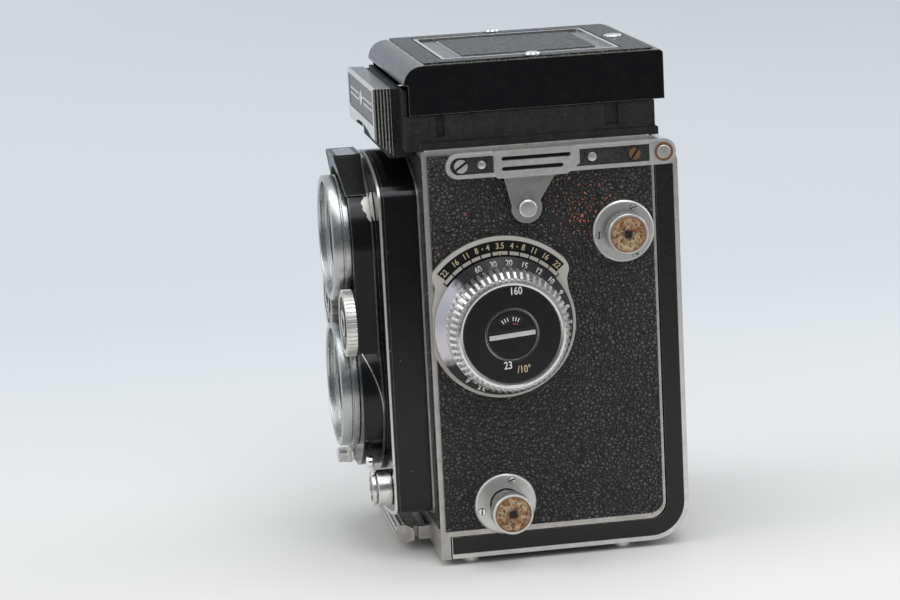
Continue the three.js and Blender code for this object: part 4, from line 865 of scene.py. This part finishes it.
# ------------------------------------------------------------------ focus knob
def focus_knob():
    """Knurled knob on a distance ring that is black above, with a painted reflection in lilac-grey at its
    front side.
    """
    centre = yz(FOCUS)
    face = box("focus_knob")[1].x
    inner_r, low, high = 17.1, 40.75, 43.5
    shape = Shells().turned("x", centre, [(2.7, 40.35), (19.2, 40.35), (19.2, low + 0.05)], LILAC_METAL)
    shape.turned("x", centre, [
        (inner_r - 0.6, low), (20.35, low), (20.4, low + 0.35), (inner_r, high), (inner_r - 0.6, high),
    ], distance_ring("distance_ring", centre, 172), closed=True, steps=128)
    shape.turned("x", centre, [(2.7, 43.0), (16.9, 43.0), (16.9, 52.0)], LILAC_METAL)
    grip = ((43.6, 16.6, 17.75), (50.6, 16.6, 17.75), (52.9, 15.65, 16.3))
    teeth = [[(x, y, z) for y, z in knurled(centre, 56, groove, ridge)] for x, groove, ridge in grip]
    shape.loft(teeth, KNURL_METAL)
    shape.turned("x", centre, [
        (14.6, 51.5), (15.6, 51.5), (15.75, 53.0), (15.5, face - 0.12), (15.15, face),
        (14.95, face - 0.3), (14.75, face - 0.05), (14.5, face - 0.15), (14.5, 52.3),
    ], BRIGHT, closed=True, steps=128)
    shape.disc("x", centre, 14.55, 51.9, 52.35, BLACK_PLATE, 96)
    for words, angle in (("60", 112), ("30", 98), ("20", 84), ("15", 70), ("12", 56), ("10", 42), ("9", 28),
                         ("8", 14), ("7", 0), ("4", 232), ("3.5", 246)):
        spot = polar(centre, 18.75, angle)
        shape.text(words, 2.5, spot, angle - 90, 42.1, 42.72, WHITE, font_scale=0.8)
    piece("knob_focus", shape, "focus_knob", 0.1)


def focus_dial():
    centre = yz(FOCUS)
    low, high = box("focus_dial")
    face = high.x
    disc = [(7.85, low.x), (14.2, low.x), (14.2, face - 0.15), (14.05, face), (7.85, face)]
    shape = Shells().turned("x", centre, disc, DIAL_ENAMEL, closed=True, steps=128)
    for words, size, u, v, tilt, ink in (("160", 3.1, 1.6, 12.6, 1, WHITE), ("23", 3.1, -1.6, -8.9, 2, WHITE),
                                         ("/10°", 3.0, 3.0, -10.3, 2, CREAM)):
        spot = (centre[0] + u, centre[1] + v)
        shape.text(words, size, spot, tilt, face - 0.02, face + 0.07, ink, font_scale=0.8)
    piece("dial_focus", shape, "focus_dial", 0.05)


def film_speed_disc():
    """Disc with a raised bar to turn it and a curved window of marks."""
    centre = yz(FOCUS)
    low, high = box("film_speed_disc")
    face = 53.35
    under = face - 0.05
    shape = Shells().turned("x", centre, [(7.6, low.x), (7.6, face - 0.1), (7.45, face)], DIAL_ENAMEL)
    shape.tube("x", centre, 7.3, 7.4, under, face + 0.03, SPRING)
    for v0, v1, height, look in ((-0.75, 0.55, high.x - 0.02, STRAP_CHROME), (0.55, 1.2, face + 0.12, INNER_BLACK_AND_PAINTED_SHADE)):
        corners = ((-6.7, v0), (6.7, v0), (6.7, v1), (-6.7, v1))
        shape.prism("x", [tilted(centre, 4.2, u, v) for u, v in corners], under, height, look)
    shape.prism("x", sector(centre, 3.6, 5.6, 52, 132, 24), under, face + 0.03, INNER_BLACK_AND_PAINTED_SHADE)
    for angle in (64, 74, 84, 104, 114, 124):
        shape.prism("x", sector(centre, 4.0, 5.2, angle - 1.6, angle + 1.6, 2), face, face + 0.07, WHITE)
    shape.prism("x", sector(centre, 3.15, 3.4, 58, 84, 12), face - 0.02, face + 0.05, RED)
    piece("disc_film_speed", shape, "film_speed_disc", 0.08)


# ------------------------------------------------------------------ lens board
def apron_outline(inset=0.0):
    """Front outline of the lens board: bowed top and bottom, rounded corners."""
    half, low, high = 30.6 - inset, 12.6 + inset, 110.4 - inset
    shoulder, cheek = half - 6, half - 2.5
    points = curve((-cheek, low), (0, low - 7.6), (cheek, low), 32)
    points += curve((cheek, low), (half, low + 0.6), (half, low + 4), 8)[1:]
    points += curve((half, high - 5), (half, high), (shoulder, high + 2), 10)
    points += curve((shoulder, high + 2), (0, high + 11.5), (-shoulder, high + 2), 32)[1:]
    points += curve((-shoulder, high + 2), (-half, high), (-half, high - 5), 10)[1:]
    points += curve((-half, low + 4), (-half, low + 0.6), (-cheek, low), 8)[:-1]
    return points


def lens_apron():
    front, back = box("lens_apron")[0].y, BODY_FRONT
    openings = [circle(xz(VIEWING), 15.6), circle(xz(TAKING), 15.6), circle(RELEASE, 3.1, 48)]
    shape = Shells()
    shape.prism("y", apron_outline(), front, front + 1.4, ENAMEL, holes=openings)
    shape.prism("y", apron_outline(), front + 1.4, back, ENAMEL, holes=[apron_outline(1.3)])
    for low, high in ((front - 0.1, front + 0.5), (back - 0.45, back)):
        shape.prism("y", apron_outline(-0.12), low, high, RIM_METAL, holes=[apron_outline(0.75)])
    follower = box("focus_shaft")[0].y - 0.3
    for middle_x in (-25.5, 25.5):
        x = (middle_x - 1.5, middle_x + 1.5)
        shape.block(x, (front + 0.8, follower), (55, 60), SATIN)
        shape.block(x, (follower - 1.6, follower), (55, 67.5), SATIN)
    piece("apron", shape, "lens_apron", 0.2, 3)


def lobes(grow=0.0):
    """Two round lobes joined by a straight waist."""
    waist, top_r, bottom_r = 21.3 + grow, 21.5 + grow, 25 + grow
    top_angle, bottom_angle = (math.degrees(math.acos(waist / r)) for r in (top_r, bottom_r))
    upper = arc(xz(VIEWING), top_r, -top_angle, 180 + top_angle, 96)
    return upper + arc(xz(TAKING), bottom_r, 180 - bottom_angle, 360 + bottom_angle, 96)


def on_lobe(at, angle, spots):
    """Points on the side of a lobe at one angle, from their radii and depths."""
    points = []
    for r, y in spots:
        x, z = polar((0, at.z), r, angle)
        points.append((x, y, z))
    return points


def step_line(front, back):
    """A rubbed edge that runs down the lower lobe's side from the waist's front to the base."""
    rings = []
    for i in range(25):
        t = i / 24
        y = front + 0.6 + (back - front - 1.6) * math.sin(t * math.pi / 2)
        spots = ((24.8, y - 0.1), (25.14, y - 0.1), (25.14, y + 0.1), (24.8, y + 0.1))
        rings.append(on_lobe(TAKING, 34 - 44 * t, spots))
    return rings


def chip(r, edge, widths):
    """Bare metal on the upper lobe's side, from an edge forwards, one width for each 2.25 degrees."""
    rings = []
    for number, width in enumerate(widths):
        spots = ((r - 0.3, edge - width), (r + 0.05, edge - width), (r + 0.05, edge), (r - 0.3, edge))
        rings.append(on_lobe(VIEWING, 20 + 2.25 * number, spots))
    return rings


def lens_housing():
    low, high = box("lens_housing")
    front, back = low.y, high.y
    holes = [circle(xz(VIEWING), 14.6), circle(xz(TAKING), 14.6)]
    holes += [circle((side * WHEEL[0], WHEEL[1]), 2.1, 32) for side in (-1, 1)]
    shape = Shells()
    shape.prism("y", lobes(), front, back, ENAMEL, holes=holes)
    shape.prism("y", lobes(1.6), back - 1.05, back, ENAMEL, holes=[lobes(-0.2)])
    for side in (-1, 1):
        shape.side = side
        shape.loft(step_line(front, back), RIM_METAL)
    on_base = [0.3, 0.5] + [0.95] * 7 + [0.6, 0.4]
    on_drum = [0.2, 0.8, 1.2, 1.1, 1.9, 2.2, 1.9, 2.4, 2.1, 1.3, 1.5, 0.7]
    wear = Shells().loft(chip(23.1, back - 0.1, on_base), BARED)
    wear.loft(chip(21.5, back - 1.0, on_drum), BARED)
    finish("housing_wear", wear, "lens_board")
    piece("housing", shape, "lens_housing", 0.45, 3)


def bezel(name, node, at):
    """Lens ring with a bayonet groove and three lugs."""
    low, high = box(node)
    front, back = low.y, high.y
    r = 18.8
    outside = [(r, back), (r, back - 1.5), (r - 0.35, back - 1.7), (r - 0.35, back - 2.1), (r, back - 2.3)]
    lip = [(r, front + 0.5), (r - 0.15, front + 0.15), (r - 0.5, front), (r - 1.5, front)]
    bayonet = [(r - 1.75, front + 0.3), (r - 1.9, front + 2.0), (r - 2.7, front + 2.0)]
    profile = [(14.8, back), *outside, *lip, *bayonet, (r - 2.85, front + 2.5), (14.8, front + 2.9)]
    shape = Shells().turned("y", xz(at), profile, BEZEL_METAL, closed=True, steps=144)
    for turn in (30, 150, 270):
        lug = sector(xz(at), r - 2.5, r - 1.7, turn, turn + 34, 12)
        shape.prism("y", lug, front + 0.5, front + 1.1, BRIGHT)
    piece(name, shape, node, 0.08)


def lens_cell(name, node, at, glass_r):
    """Stepped black mount round a domed glass."""
    low, high = box(node)
    front, back = low.y, high.y
    mouth_r, seat_r = 13.5, glass_r + 0.1
    profile = [(seat_r, back), (14.3, back), (14.3, front), (13.7, front), (mouth_r, front + 0.5)]
    steps = 4
    for step in range(steps):
        r = mouth_r - (mouth_r - glass_r - 0.5) * (step + 1) / steps
        profile += [(r + 0.25, front + 0.5 + 0.35 * step), (r, front + 0.85 + 0.35 * step)]
    profile.append((seat_r, front + 2.1))
    shape = Shells().turned("y", xz(at), profile, INNER_BLACK_AND_PAINTED_SHADE, closed=True, steps=128)
    shape.tube("y", xz(at), seat_r, glass_r + 0.5, front + 1.6, front + 2.3, SATIN, 128)
    sag = glass_r * 0.17
    dome = [(glass_r + 0.15, back - 1), (glass_r + 0.15, front + 2.4)]
    for step in range(1, 24):
        r = glass_r * (1 - step / 24)
        dome.append((r, front + 2.2 - sag * (1 - (r / glass_r) ** 2)))
    shape.turned("y", xz(at), dome, VIEW_GLASS, steps=128)
    piece(name, shape, node)


def exposure_window():
    """Read-out window for the two settings, saddled on the upper lobe."""
    low, high = box("exposure_window")
    half, top = 8.2, high.z  # flat top, then shoulders that run down tangent to the lobe
    shoulder = curve((half + 0.9, top - 1.1), (half, top), (half - 1.3, top), 6)
    outline = [(-15, 104), (15, 104), (16.4, 106.9)] + shoulder
    outline += [(-u, v) for u, v in reversed(shoulder)] + [(-16.4, 106.9)]
    # painted shade: the read-out block has the darker, duller enamel
    block = Shells().prism("y", outline, low.y, high.y, PAINTED_SHADE_ENAMEL)
    block.cut(
        Shells().disc("y", xz(VIEWING), 21.4, -70, -40, steps=128),
        Shells().prism("z", rounded(-7.4, 7.4, -58.6, -52.9, 0.7), top - 0.35, 130),
    )
    housing_front = box("lens_housing")[0].y
    for vertex in block.mesh.verts:
        if vertex.co.y < housing_front and top - vertex.co.z > 1.2:
            share = min(1.0, (top - vertex.co.z) / 14)
            vertex.co.y += share * (housing_front - low.y)
    block.prism("z", rounded(-7.5, 7.5, -58.7, -52.8, 0.7), top - 0.5, top - 0.12, WINDOW_GLASS)
    for words, x in (("125", -4.2), ("8", 4.2)):
        block.text(words, 2.0, (x, -55.7), 0, top - 0.14, top - 0.09, WHITE, axis="z")
    piece("read_out_window", block, "exposure_window", 0.15)


def setting_wheel(name, node, side):
    """Milled wheel with an open dished face."""
    centre = (side * WHEEL[0], WHEEL[1])
    rim = knurled(centre, 44, 9.35, 9.9)
    shape = Shells().prism("y", rim, -60.8, -58, KNURL_METAL, holes=[circle(centre, 8.3)])
    shape.turned("y", centre, [
        (1.8, -52), (1.8, -57.6), (3, -57.6), (8.6, -58.1), (8.6, -60.1), (4.4, -59.9), (4.0, -60.9),
        (1.5, -61.2),
    ], DIAL_ENAMEL)
    shape.tube("y", centre, 7.9, 9.4, -61.05, -60.6, SATIN)
    shape.tube("y", centre, 3.0, 3.9, -60.85, -61.15, SATIN)
    shape.screw("y", centre, 1.3, -61.1, -61.55, 40, BRIGHT)
    piece(name, shape, node, 0.08)


def self_timer_lever():
    """Curved lever with a ribbed finger end."""
    low, high = 245, 255.5
    shape = Shells().prism("y", sector(xz(TAKING), 20.2, 27.6, low, high, 12), -59, -57.6, CHROME)
    angle = (low + high) / 2
    end = polar((0, TAKING.z), 26, angle)
    knob = [tilted(end, angle, u, v) for u, v in rounded(-2.0, 2.0, -1.7, 1.7, 0.7, 4)]
    shape.prism("y", knob, -61.7, -58.3, CHROME)
    for offset in (-0.9, 0, 0.9):
        corners = ((-0.22, -1.5), (0.22, -1.5), (0.22, 1.5), (-0.22, 1.5))
        rib = [tilted(end, angle, offset + u, v) for u, v in corners]
        shape.prism("y", rib, -61.95, -61.6, BRIGHT)
    piece("timer_lever", shape, "self_timer_lever", 0.25, 3)


def flash_socket():
    back = -50.15
    shape = Shells().turned("y", SOCKET, [
        (3.4, back), (5.4, back), (5.4, back - 3.9), (5.15, back - 4.2), (4.6, back - 4.45),
        (3.9, back - 4.45), (3.4, back - 4.1),
    ], CHROME, closed=True)
    shape.tube("y", SOCKET, 0.8, 3.5, back - 1.2, back, INNER_BLACK_AND_PAINTED_SHADE, 48)
    shape.tube("y", SOCKET, 1.5, 2.3, back - 3.2, back - 0.5, BRIGHT, 48)
    piece("socket_flash", shape, "flash_socket", 0.1)
    lock = Shells().tube("y", SOCKET, 3.85, 5.2, -55.9, -54.9, CHROME, 64)
    lock.block((20.9, 23.1), (-55.9, -54.9), (24.0, 27.8), CHROME)
    stud = [(1.5, -54.9), (1.9, -55.2), (1.9, -56.3), (1.5, -56.8), (0.6, -56.95)]
    lock.turned("y", (SOCKET[0], 27.6), stud, BRIGHT, steps=48)
    piece("lock_flash", lock, "flash_socket_lock", 0.12)


def shutter_release():
    """Button with a plain hole where a cable screws in."""
    shape = Shells().turned("y", RELEASE, [
        (2.7, -45), (2.7, -53.6), (3.3, -54.0), (3.3, -55.8), (2.9, -56.4), (2.4, -56.6), (1.7, -56.35),
        (1.1, -56.1), (1.0, -55.2), (0.2, -55.2),
    ], BRIGHT, steps=64)
    piece("release_button", shape, "shutter_release")


# ------------------------------------------------------------------ finder hood
def body_top_line():
    """Bright line round the casting's top, at the foot of the hood."""
    top = box("body_casting")[1].z
    outline, hole = rounded(-37.2, 37.2, -37.2, 29.4, 1.5), rounded(-34, 34, -34, 26, 1.5)
    line = Shells().prism("z", outline, top - 0.1, top + 0.3, RIM_METAL, holes=[hole])
    finish("body_top_line", line, "camera_body", 0.1)


def name_plate():
    """Plate at the hood's front: arched lower edge, stippled field, ribbed cheeks, black top."""
    low, high = box("name_plate")
    front, back, top = low.y, high.y, high.z
    side = [(front, 124.2), (back, 119.5), (back, top - 0.2), (front + 0.6, top), (front, top - 0.6)]
    plate = Shells().prism("x", side, low.x, high.x, CHROME)
    arch = [(-26.3, 100), (26.3, 100)] + curve((26.3, 122.8), (0, 129.4), (-26.3, 122.8), 32)
    cutters = [
        Shells().prism("y", arch, front - 1, back + 1),
        Shells().block((-27.5, 27.5), (-46, -40), (100, 124.9)),
        Shells().prism("y", rounded(-25.8, 25.8, 128.2, 138.2, 1.0), front - 1, front + 0.5),
    ]
    for middle_x in (-27.8, 27.8):
        for row in range(5):
            groove = front + 0.62 + row * 0.95
            x = (middle_x - 0.6, middle_x + 0.6)
            cutters.append(Shells().block(x, (groove, groove + 0.56), (110, top - 0.4)))
    plate.cut(*cutters)
    plate.paint(ENAMEL, lambda centre, normal: normal.z > 0.9 and centre.z > top - 0.3)
    # painted shade: the cheeks' groove walls and floors in black
    plate.paint(INNER_BLACK_AND_PAINTED_SHADE, lambda centre, normal: 27.1 < abs(centre.x) < 27.95 and abs(normal.y) > 0.5
                and front + 0.4 < centre.y < back - 0.2)
    plate.paint(INNER_BLACK_AND_PAINTED_SHADE, lambda centre, normal: 27.1 < abs(centre.x) < 27.3 and abs(normal.x) > 0.5)
    plate.prism("y", rounded(-25.7, 25.7, 128.3, 138.1, 0.9), front + 0.3, front + 0.55, STIPPLE)
    diamond = [(-3.2, 133.2), (0, 130.6), (3.2, 133.2), (0, 135.8)]
    plate.prism("y", diamond, front + 0.1, front + 0.4, CHROME)
    for start, end in ((-23, -5), (5, 23)):
        for z in (132.3, 134.1):
            line = rounded(start, end, z - 0.3, z + 0.3, 0.25, 3)
            plate.prism("y", line, front + 0.15, front + 0.4, CHROME)
    piece("plate_front", plate, "name_plate", 0.12)


FLAP_HALF, FLAP_FRONT, FLAP_REAR = 27.8, -29.3, 23.7  # opening for the sports finder in the lid
LID_TOP = 146.0


def hood_lid():
    """Lid shell with a rounded front, buttons, and a bright line round its leather."""
    low, high = box("hood_lid")
    bottom, rear, half, front = low.z, high.y, 36.4, -40.5
    side = ([(front, bottom), (rear, bottom)] + arc((rear - 1.2, LID_TOP - 1.2), 1.2, 0, 90, 8)
            + curve((-35.5, LID_TOP), (-40.9, LID_TOP), (-41.8, 141), 20) + [(-41.8, 140.6), (front, 140.6)])
    shell = Shells().prism("x", side, -half, half, ENAMEL)
    inside_x, inside_rear = (-35, 35), rear - 1.3
    shell.cut(
        Shells().block(inside_x, (front - 5, inside_rear), (100, 140.5)),
        Shells().block(inside_x, (front + 3, inside_rear), (100, LID_TOP - 1.6)),
        Shells().block((-FLAP_HALF, FLAP_HALF), (FLAP_FRONT, FLAP_REAR), (100, 200)),
    )
    button = [(2.3, 145), (2.3, 146.9), (2.0, 147.4), (1.2, 147.6), (0.2, 147.6)]
    for at in LID_BUTTONS:
        shell.turned("z", at, button, BRIGHT, steps=48)
    catch = [(2.8, 145), (2.8, 146.7), (2.5, 147.1), (1.6, 147.25), (0.2, 147.2)]
    shell.turned("z", LID_CATCH, catch, CHROME, steps=64)
    outer = rounded(-half + 0.5, half - 0.5, -36.0, rear - 0.5, 0.8)
    inner = rounded(-half + 1.15, half - 1.15, -35.4, rear - 1.15, 0.6)
    shell.prism("z", outer, LID_TOP - 0.15, LID_TOP + 0.12, CHROME, holes=[inner])
    piece("lid", shell, "hood_lid", 0.35, 3)


def lid_leather():
    low, high = box("lid_leather")
    window = rounded(-FLAP_HALF - 0.2, FLAP_HALF + 0.2, FLAP_FRONT - 0.2, FLAP_REAR + 0.2, 0.6)
    holes = [window] + [circle(at, 2.7, 48) for at in LID_BUTTONS] + [circle(LID_CATCH, 3.2, 48)]
    outline = rounded(low.x, high.x, low.y, high.y, 1)
    shape = Shells().prism("z", outline, low.z, high.z, FINE_LEATHER, holes=holes)
    piece("leather_lid", shape, "lid_leather", 0.15)


def finder_flap():
    """Framed flap of the sports finder, with a leather pad on its plate."""
    low, high = box("finder_flap")
    outer = rounded(low.x, high.x, low.y, high.y, 0.8)
    shape = Shells().prism("z", outer, low.z, 145.9, ENAMEL)
    shape.prism("z", outer, 145.8, high.z, CHROME, holes=[rounded(-26.4, 26.4, -28.0, 22.4, 0.8)])
    shape.prism("z", rounded(-21.5, 21.5, -22.7, 18.5, 1.2), 145.8, 146.1, RIM_METAL)
    shape.prism("z", rounded(-21, 21, -22.2, 18, 1), 145.8, 146.4, FINE_LEATHER)
    piece("sports_flap", shape, "finder_flap", 0.15)


# ------------------------------------------------------------------ crank side
def crank_parts():
    """Flange, folding arm and grip of the winding crank, and the window of the exposure counter."""
    centre = yz(CRANK)
    plate = -38.25
    flange = Shells().turned("x", centre, [
        (3.4, plate), (14, plate), (14, -39.3), (13.2, -39.9), (12.2, -39.9), (12.0, -39.6), (9.2, -39.6),
        (9.0, -40.0), (3.4, -40.0),
    ], SATIN, closed=True)
    piece("flange_crank", flange, "crank_flange", 0.08)

    x, z = -47.2, CRANK.z - 6  # axis on which the arm folds
    end = (centre[0], z - 22)
    blade = [(centre[0] + 2.6, z), (centre[0] - 2.6, z)] + arc(end, 4.4, 127, 413, 40)
    arm = Shells().prism("x", blade, x - 1.2, x + 1.2, CHROME, holes=[circle(end, 1.6, 32)])
    y0, y1 = centre[0] - 3.3, centre[0] + 3.3
    arm.turned("y", (x, z), [(1.25, y0), (1.9, y0), (1.9, y1), (1.25, y1)], CHROME, closed=True, steps=40)
    piece("arm_crank", arm, "crank_arm", 0.3, 3)

    grip = Shells().turned("x", end, [
        (2.3, x - 2.1), (2.3, x - 1.5), (1.25, x - 1.5), (1.25, x + 1.5), (2.6, x + 1.5),
        (3.2, x + 2.2), (3.2, -41.0), (2.8, -40.3), (0.3, -40.2),
    ], BRIGHT, steps=64)
    piece("grip_crank", grip, "crank_grip", 0.1)

    at = yz(middle("counter_window"))
    ring = [(3.8, plate), (5.8, plate), (5.8, -39.4), (5.2, -39.9), (4.2, -39.9), (3.8, -39.6)]
    window = Shells().turned("x", at, ring, CHROME, closed=True, steps=64)
    window.disc("x", at, 3.9, -38.3, -39.2, BLACK_PLATE, 48)
    window.text("7", 4.2, at, 0, -39.15, -39.3, WHITE, font_scale=-0.9)
    piece("window_counter", window, "counter_window", 0.08)


# ------------------------------------------------------------------ pieces that keep their CAD mesh
def dress_cad_nodes():
    dress("body_casting", FRAME_METAL, 0.45, 3)
    dress("hood_base", WRINKLE, 0.55, 3)
    looks = {
        SATIN: "upper_film_roller lower_film_roller crank_hub focus_shaft",
        WRINKLE: "supply_spool take_up_spool hood_left_wall hood_right_wall hood_rear_wall",
        INNER_BLACK_AND_PAINTED_SHADE: "film_gate shutter_case pressure_plate magnifier_arm",
        MIRROR: "reflex_mirror",
        GROUND: "focusing_screen",
        BRASS: "take_up_gear",
        VIEW_GLASS: "rear_lens",
        WINDOW_GLASS: "magnifier_lens",
    }
    for look, nodes in looks.items():
        for node in nodes.split():
            dress(node, look)


# ------------------------------------------------------------------ stage
def stage():
    """Pale seamless floor and sky. The floor carries painted light: its colour is darker and bluer behind the
    model and paler again far off, where it also glows. Mirrored in glossy pieces, the room in front is dark.
    """
    ground = bpy.data.meshes.new("floor")
    reach = 6.0
    corners = [(-reach, -reach, 0), (reach, -reach, 0), (reach, reach, 0), (-reach, reach, 0)]
    ground.from_pydata(corners, [], [(0, 1, 2, 3)])
    s = Shader("pale_floor")
    x, y, _ = s.axes()
    # painted light: the floor darker and bluer behind the model, paler again far off
    pale = s.mix(s.ramp(x, -500, 200, smooth=True), (0.68, 0.715, 0.735), (0.90, 0.865, 0.83))
    pale = s.mix(s.ramp(x, -1900, -350, 1.0, 0.0), pale, (0.95, 0.97, 0.98))
    mirrored = s.add("LightPath").outputs["Is Glossy Ray"]
    in_front = s.times(s.ramp(x, 180, 520), mirrored)
    s.set("Base Color", s.mix(in_front, pale, (0.14, 0.14, 0.14)))
    s.set("Roughness", 0.75)
    s.set("Specular IOR Level", 0.2)
    # painted light: the far floor glows, less towards the front and towards +y
    s.set("Emission Color", (1.0, 1.0, 1.0))
    far_painted_glow = s.times(s.ramp(x, -1900, 0, 0.1, 0.0), s.ramp(y, -250, 400, 1.0, 0.15))
    s.set("Emission Strength", far_painted_glow)
    ground.materials.append(s.material)
    linked("floor", ground)

    world = bpy.data.worlds.new("studio")
    bpy.context.scene.world = world
    world.use_nodes = True
    sky = Nodes(world.node_tree)
    backdrop = world.node_tree.nodes["Background"]
    backdrop.inputs["Color"].default_value = (0.80, 0.86, 0.92, 1)
    direction = sky.add("SeparateXYZ", {0: sky.add("TexCoord").outputs["Generated"]})
    in_mirrors = sky.ramp(direction.outputs["X"], 0.5, 0.88, 0.8, 0.17)
    glossy = sky.add("LightPath").outputs["Is Glossy Ray"]
    sky.join(backdrop.inputs["Strength"], sky.blend(glossy, 0.55, in_mirrors))


def softbox(name, place, width, height, power, colour=(1, 1, 1)):
    """A rectangular lamp that looks at the middle of the camera."""
    lamp = bpy.data.lights.new(name, "AREA")
    lamp.shape = "RECTANGLE"
    lamp.size, lamp.size_y = width, height
    lamp.energy = power
    lamp.color = colour
    made = linked(name, lamp)
    made.location = place
    made.rotation_euler = (Vector((0, 0, 0.08)) - Vector(place)).to_track_quat("-Z", "Y").to_euler()


def camera():
    """The view from the knob side, a little to the front and above, with the horizon slightly tilted."""
    azimuth, elevation, roll = (math.radians(a) for a in (81.055, 11.691, -2.922))
    distance = 0.8622
    target = Vector((0, -25.84, 69.92 + FOOT)) * MM
    level = math.cos(elevation)
    back = Vector((math.sin(azimuth) * level, -math.cos(azimuth) * level, math.sin(elevation)))
    right = Vector((math.cos(azimuth), math.sin(azimuth), 0))
    up = back.cross(right)
    turned_right = math.cos(roll) * right + math.sin(roll) * up
    turned_up = math.cos(roll) * up - math.sin(roll) * right
    lens = bpy.data.cameras.new("camera")
    lens.sensor_width = 36
    lens.sensor_fit = "HORIZONTAL"
    lens.lens = 113.85
    lens.clip_end = 50
    made = linked("camera", lens)
    turn = Matrix((turned_right, turned_up, back)).transposed().to_4x4()
    made.matrix_world = Matrix.Translation(target + back * distance) @ turn
    bpy.context.scene.camera = made


side_leathers()
front_leather()
depth_of_field_plate()
spool_flange("flange_upper", UPPER, "upper_spool_flange", 0)
spool_flange("flange_lower", LOWER, "lower_spool_flange", 8)
spool_knob("knob_upper_spool", UPPER, "upper_spool_knob")
spool_knob("knob_lower_spool", LOWER, "lower_spool_knob")
for hand, side in (("left", 1), ("right", -1)):
    strap_fitting(f"strap_plate_{hand}", f"strap_strip_{hand}", side)
    strap_spring(f"strap_tongue_{hand}", f"strap_spring_{hand}", side)
rear_cover()
rear_leather()
tripod_fitting()
back_latch()
focus_knob()
focus_dial()
film_speed_disc()
lens_apron()
lens_housing()
bezel("bezel_viewing", "viewing_bezel", VIEWING)
bezel("bezel_taking", "taking_bezel", TAKING)
lens_cell("lens_viewing", "viewing_lens", VIEWING, 12.4)
lens_cell("lens_taking", "taking_lens", TAKING, 9.6)
exposure_window()
setting_wheel("wheel_aperture", "aperture_wheel", -1)
setting_wheel("wheel_speed", "speed_wheel", 1)
self_timer_lever()
flash_socket()
shutter_release()
body_top_line()
name_plate()
hood_lid()
lid_leather()
finder_flap()
crank_parts()
dress_cad_nodes()

stage()
softbox("key", (0.1, -1.5, 1.2), 1.1, 0.9, 7.5, (1.0, 0.98, 0.96))
softbox("fill", (1.1, 0.3, 1.5), 0.8, 0.8, 4, (0.97, 0.98, 1.0))
softbox("top", (0.15, 0.1, 1.7), 1.5, 1.5, 12, (0.98, 0.99, 1.0))
softbox("rear", (-0.1, 1.5, 0.7), 0.9, 0.9, 5)
camera()
bpy.context.scene.view_settings.view_transform = "Standard"
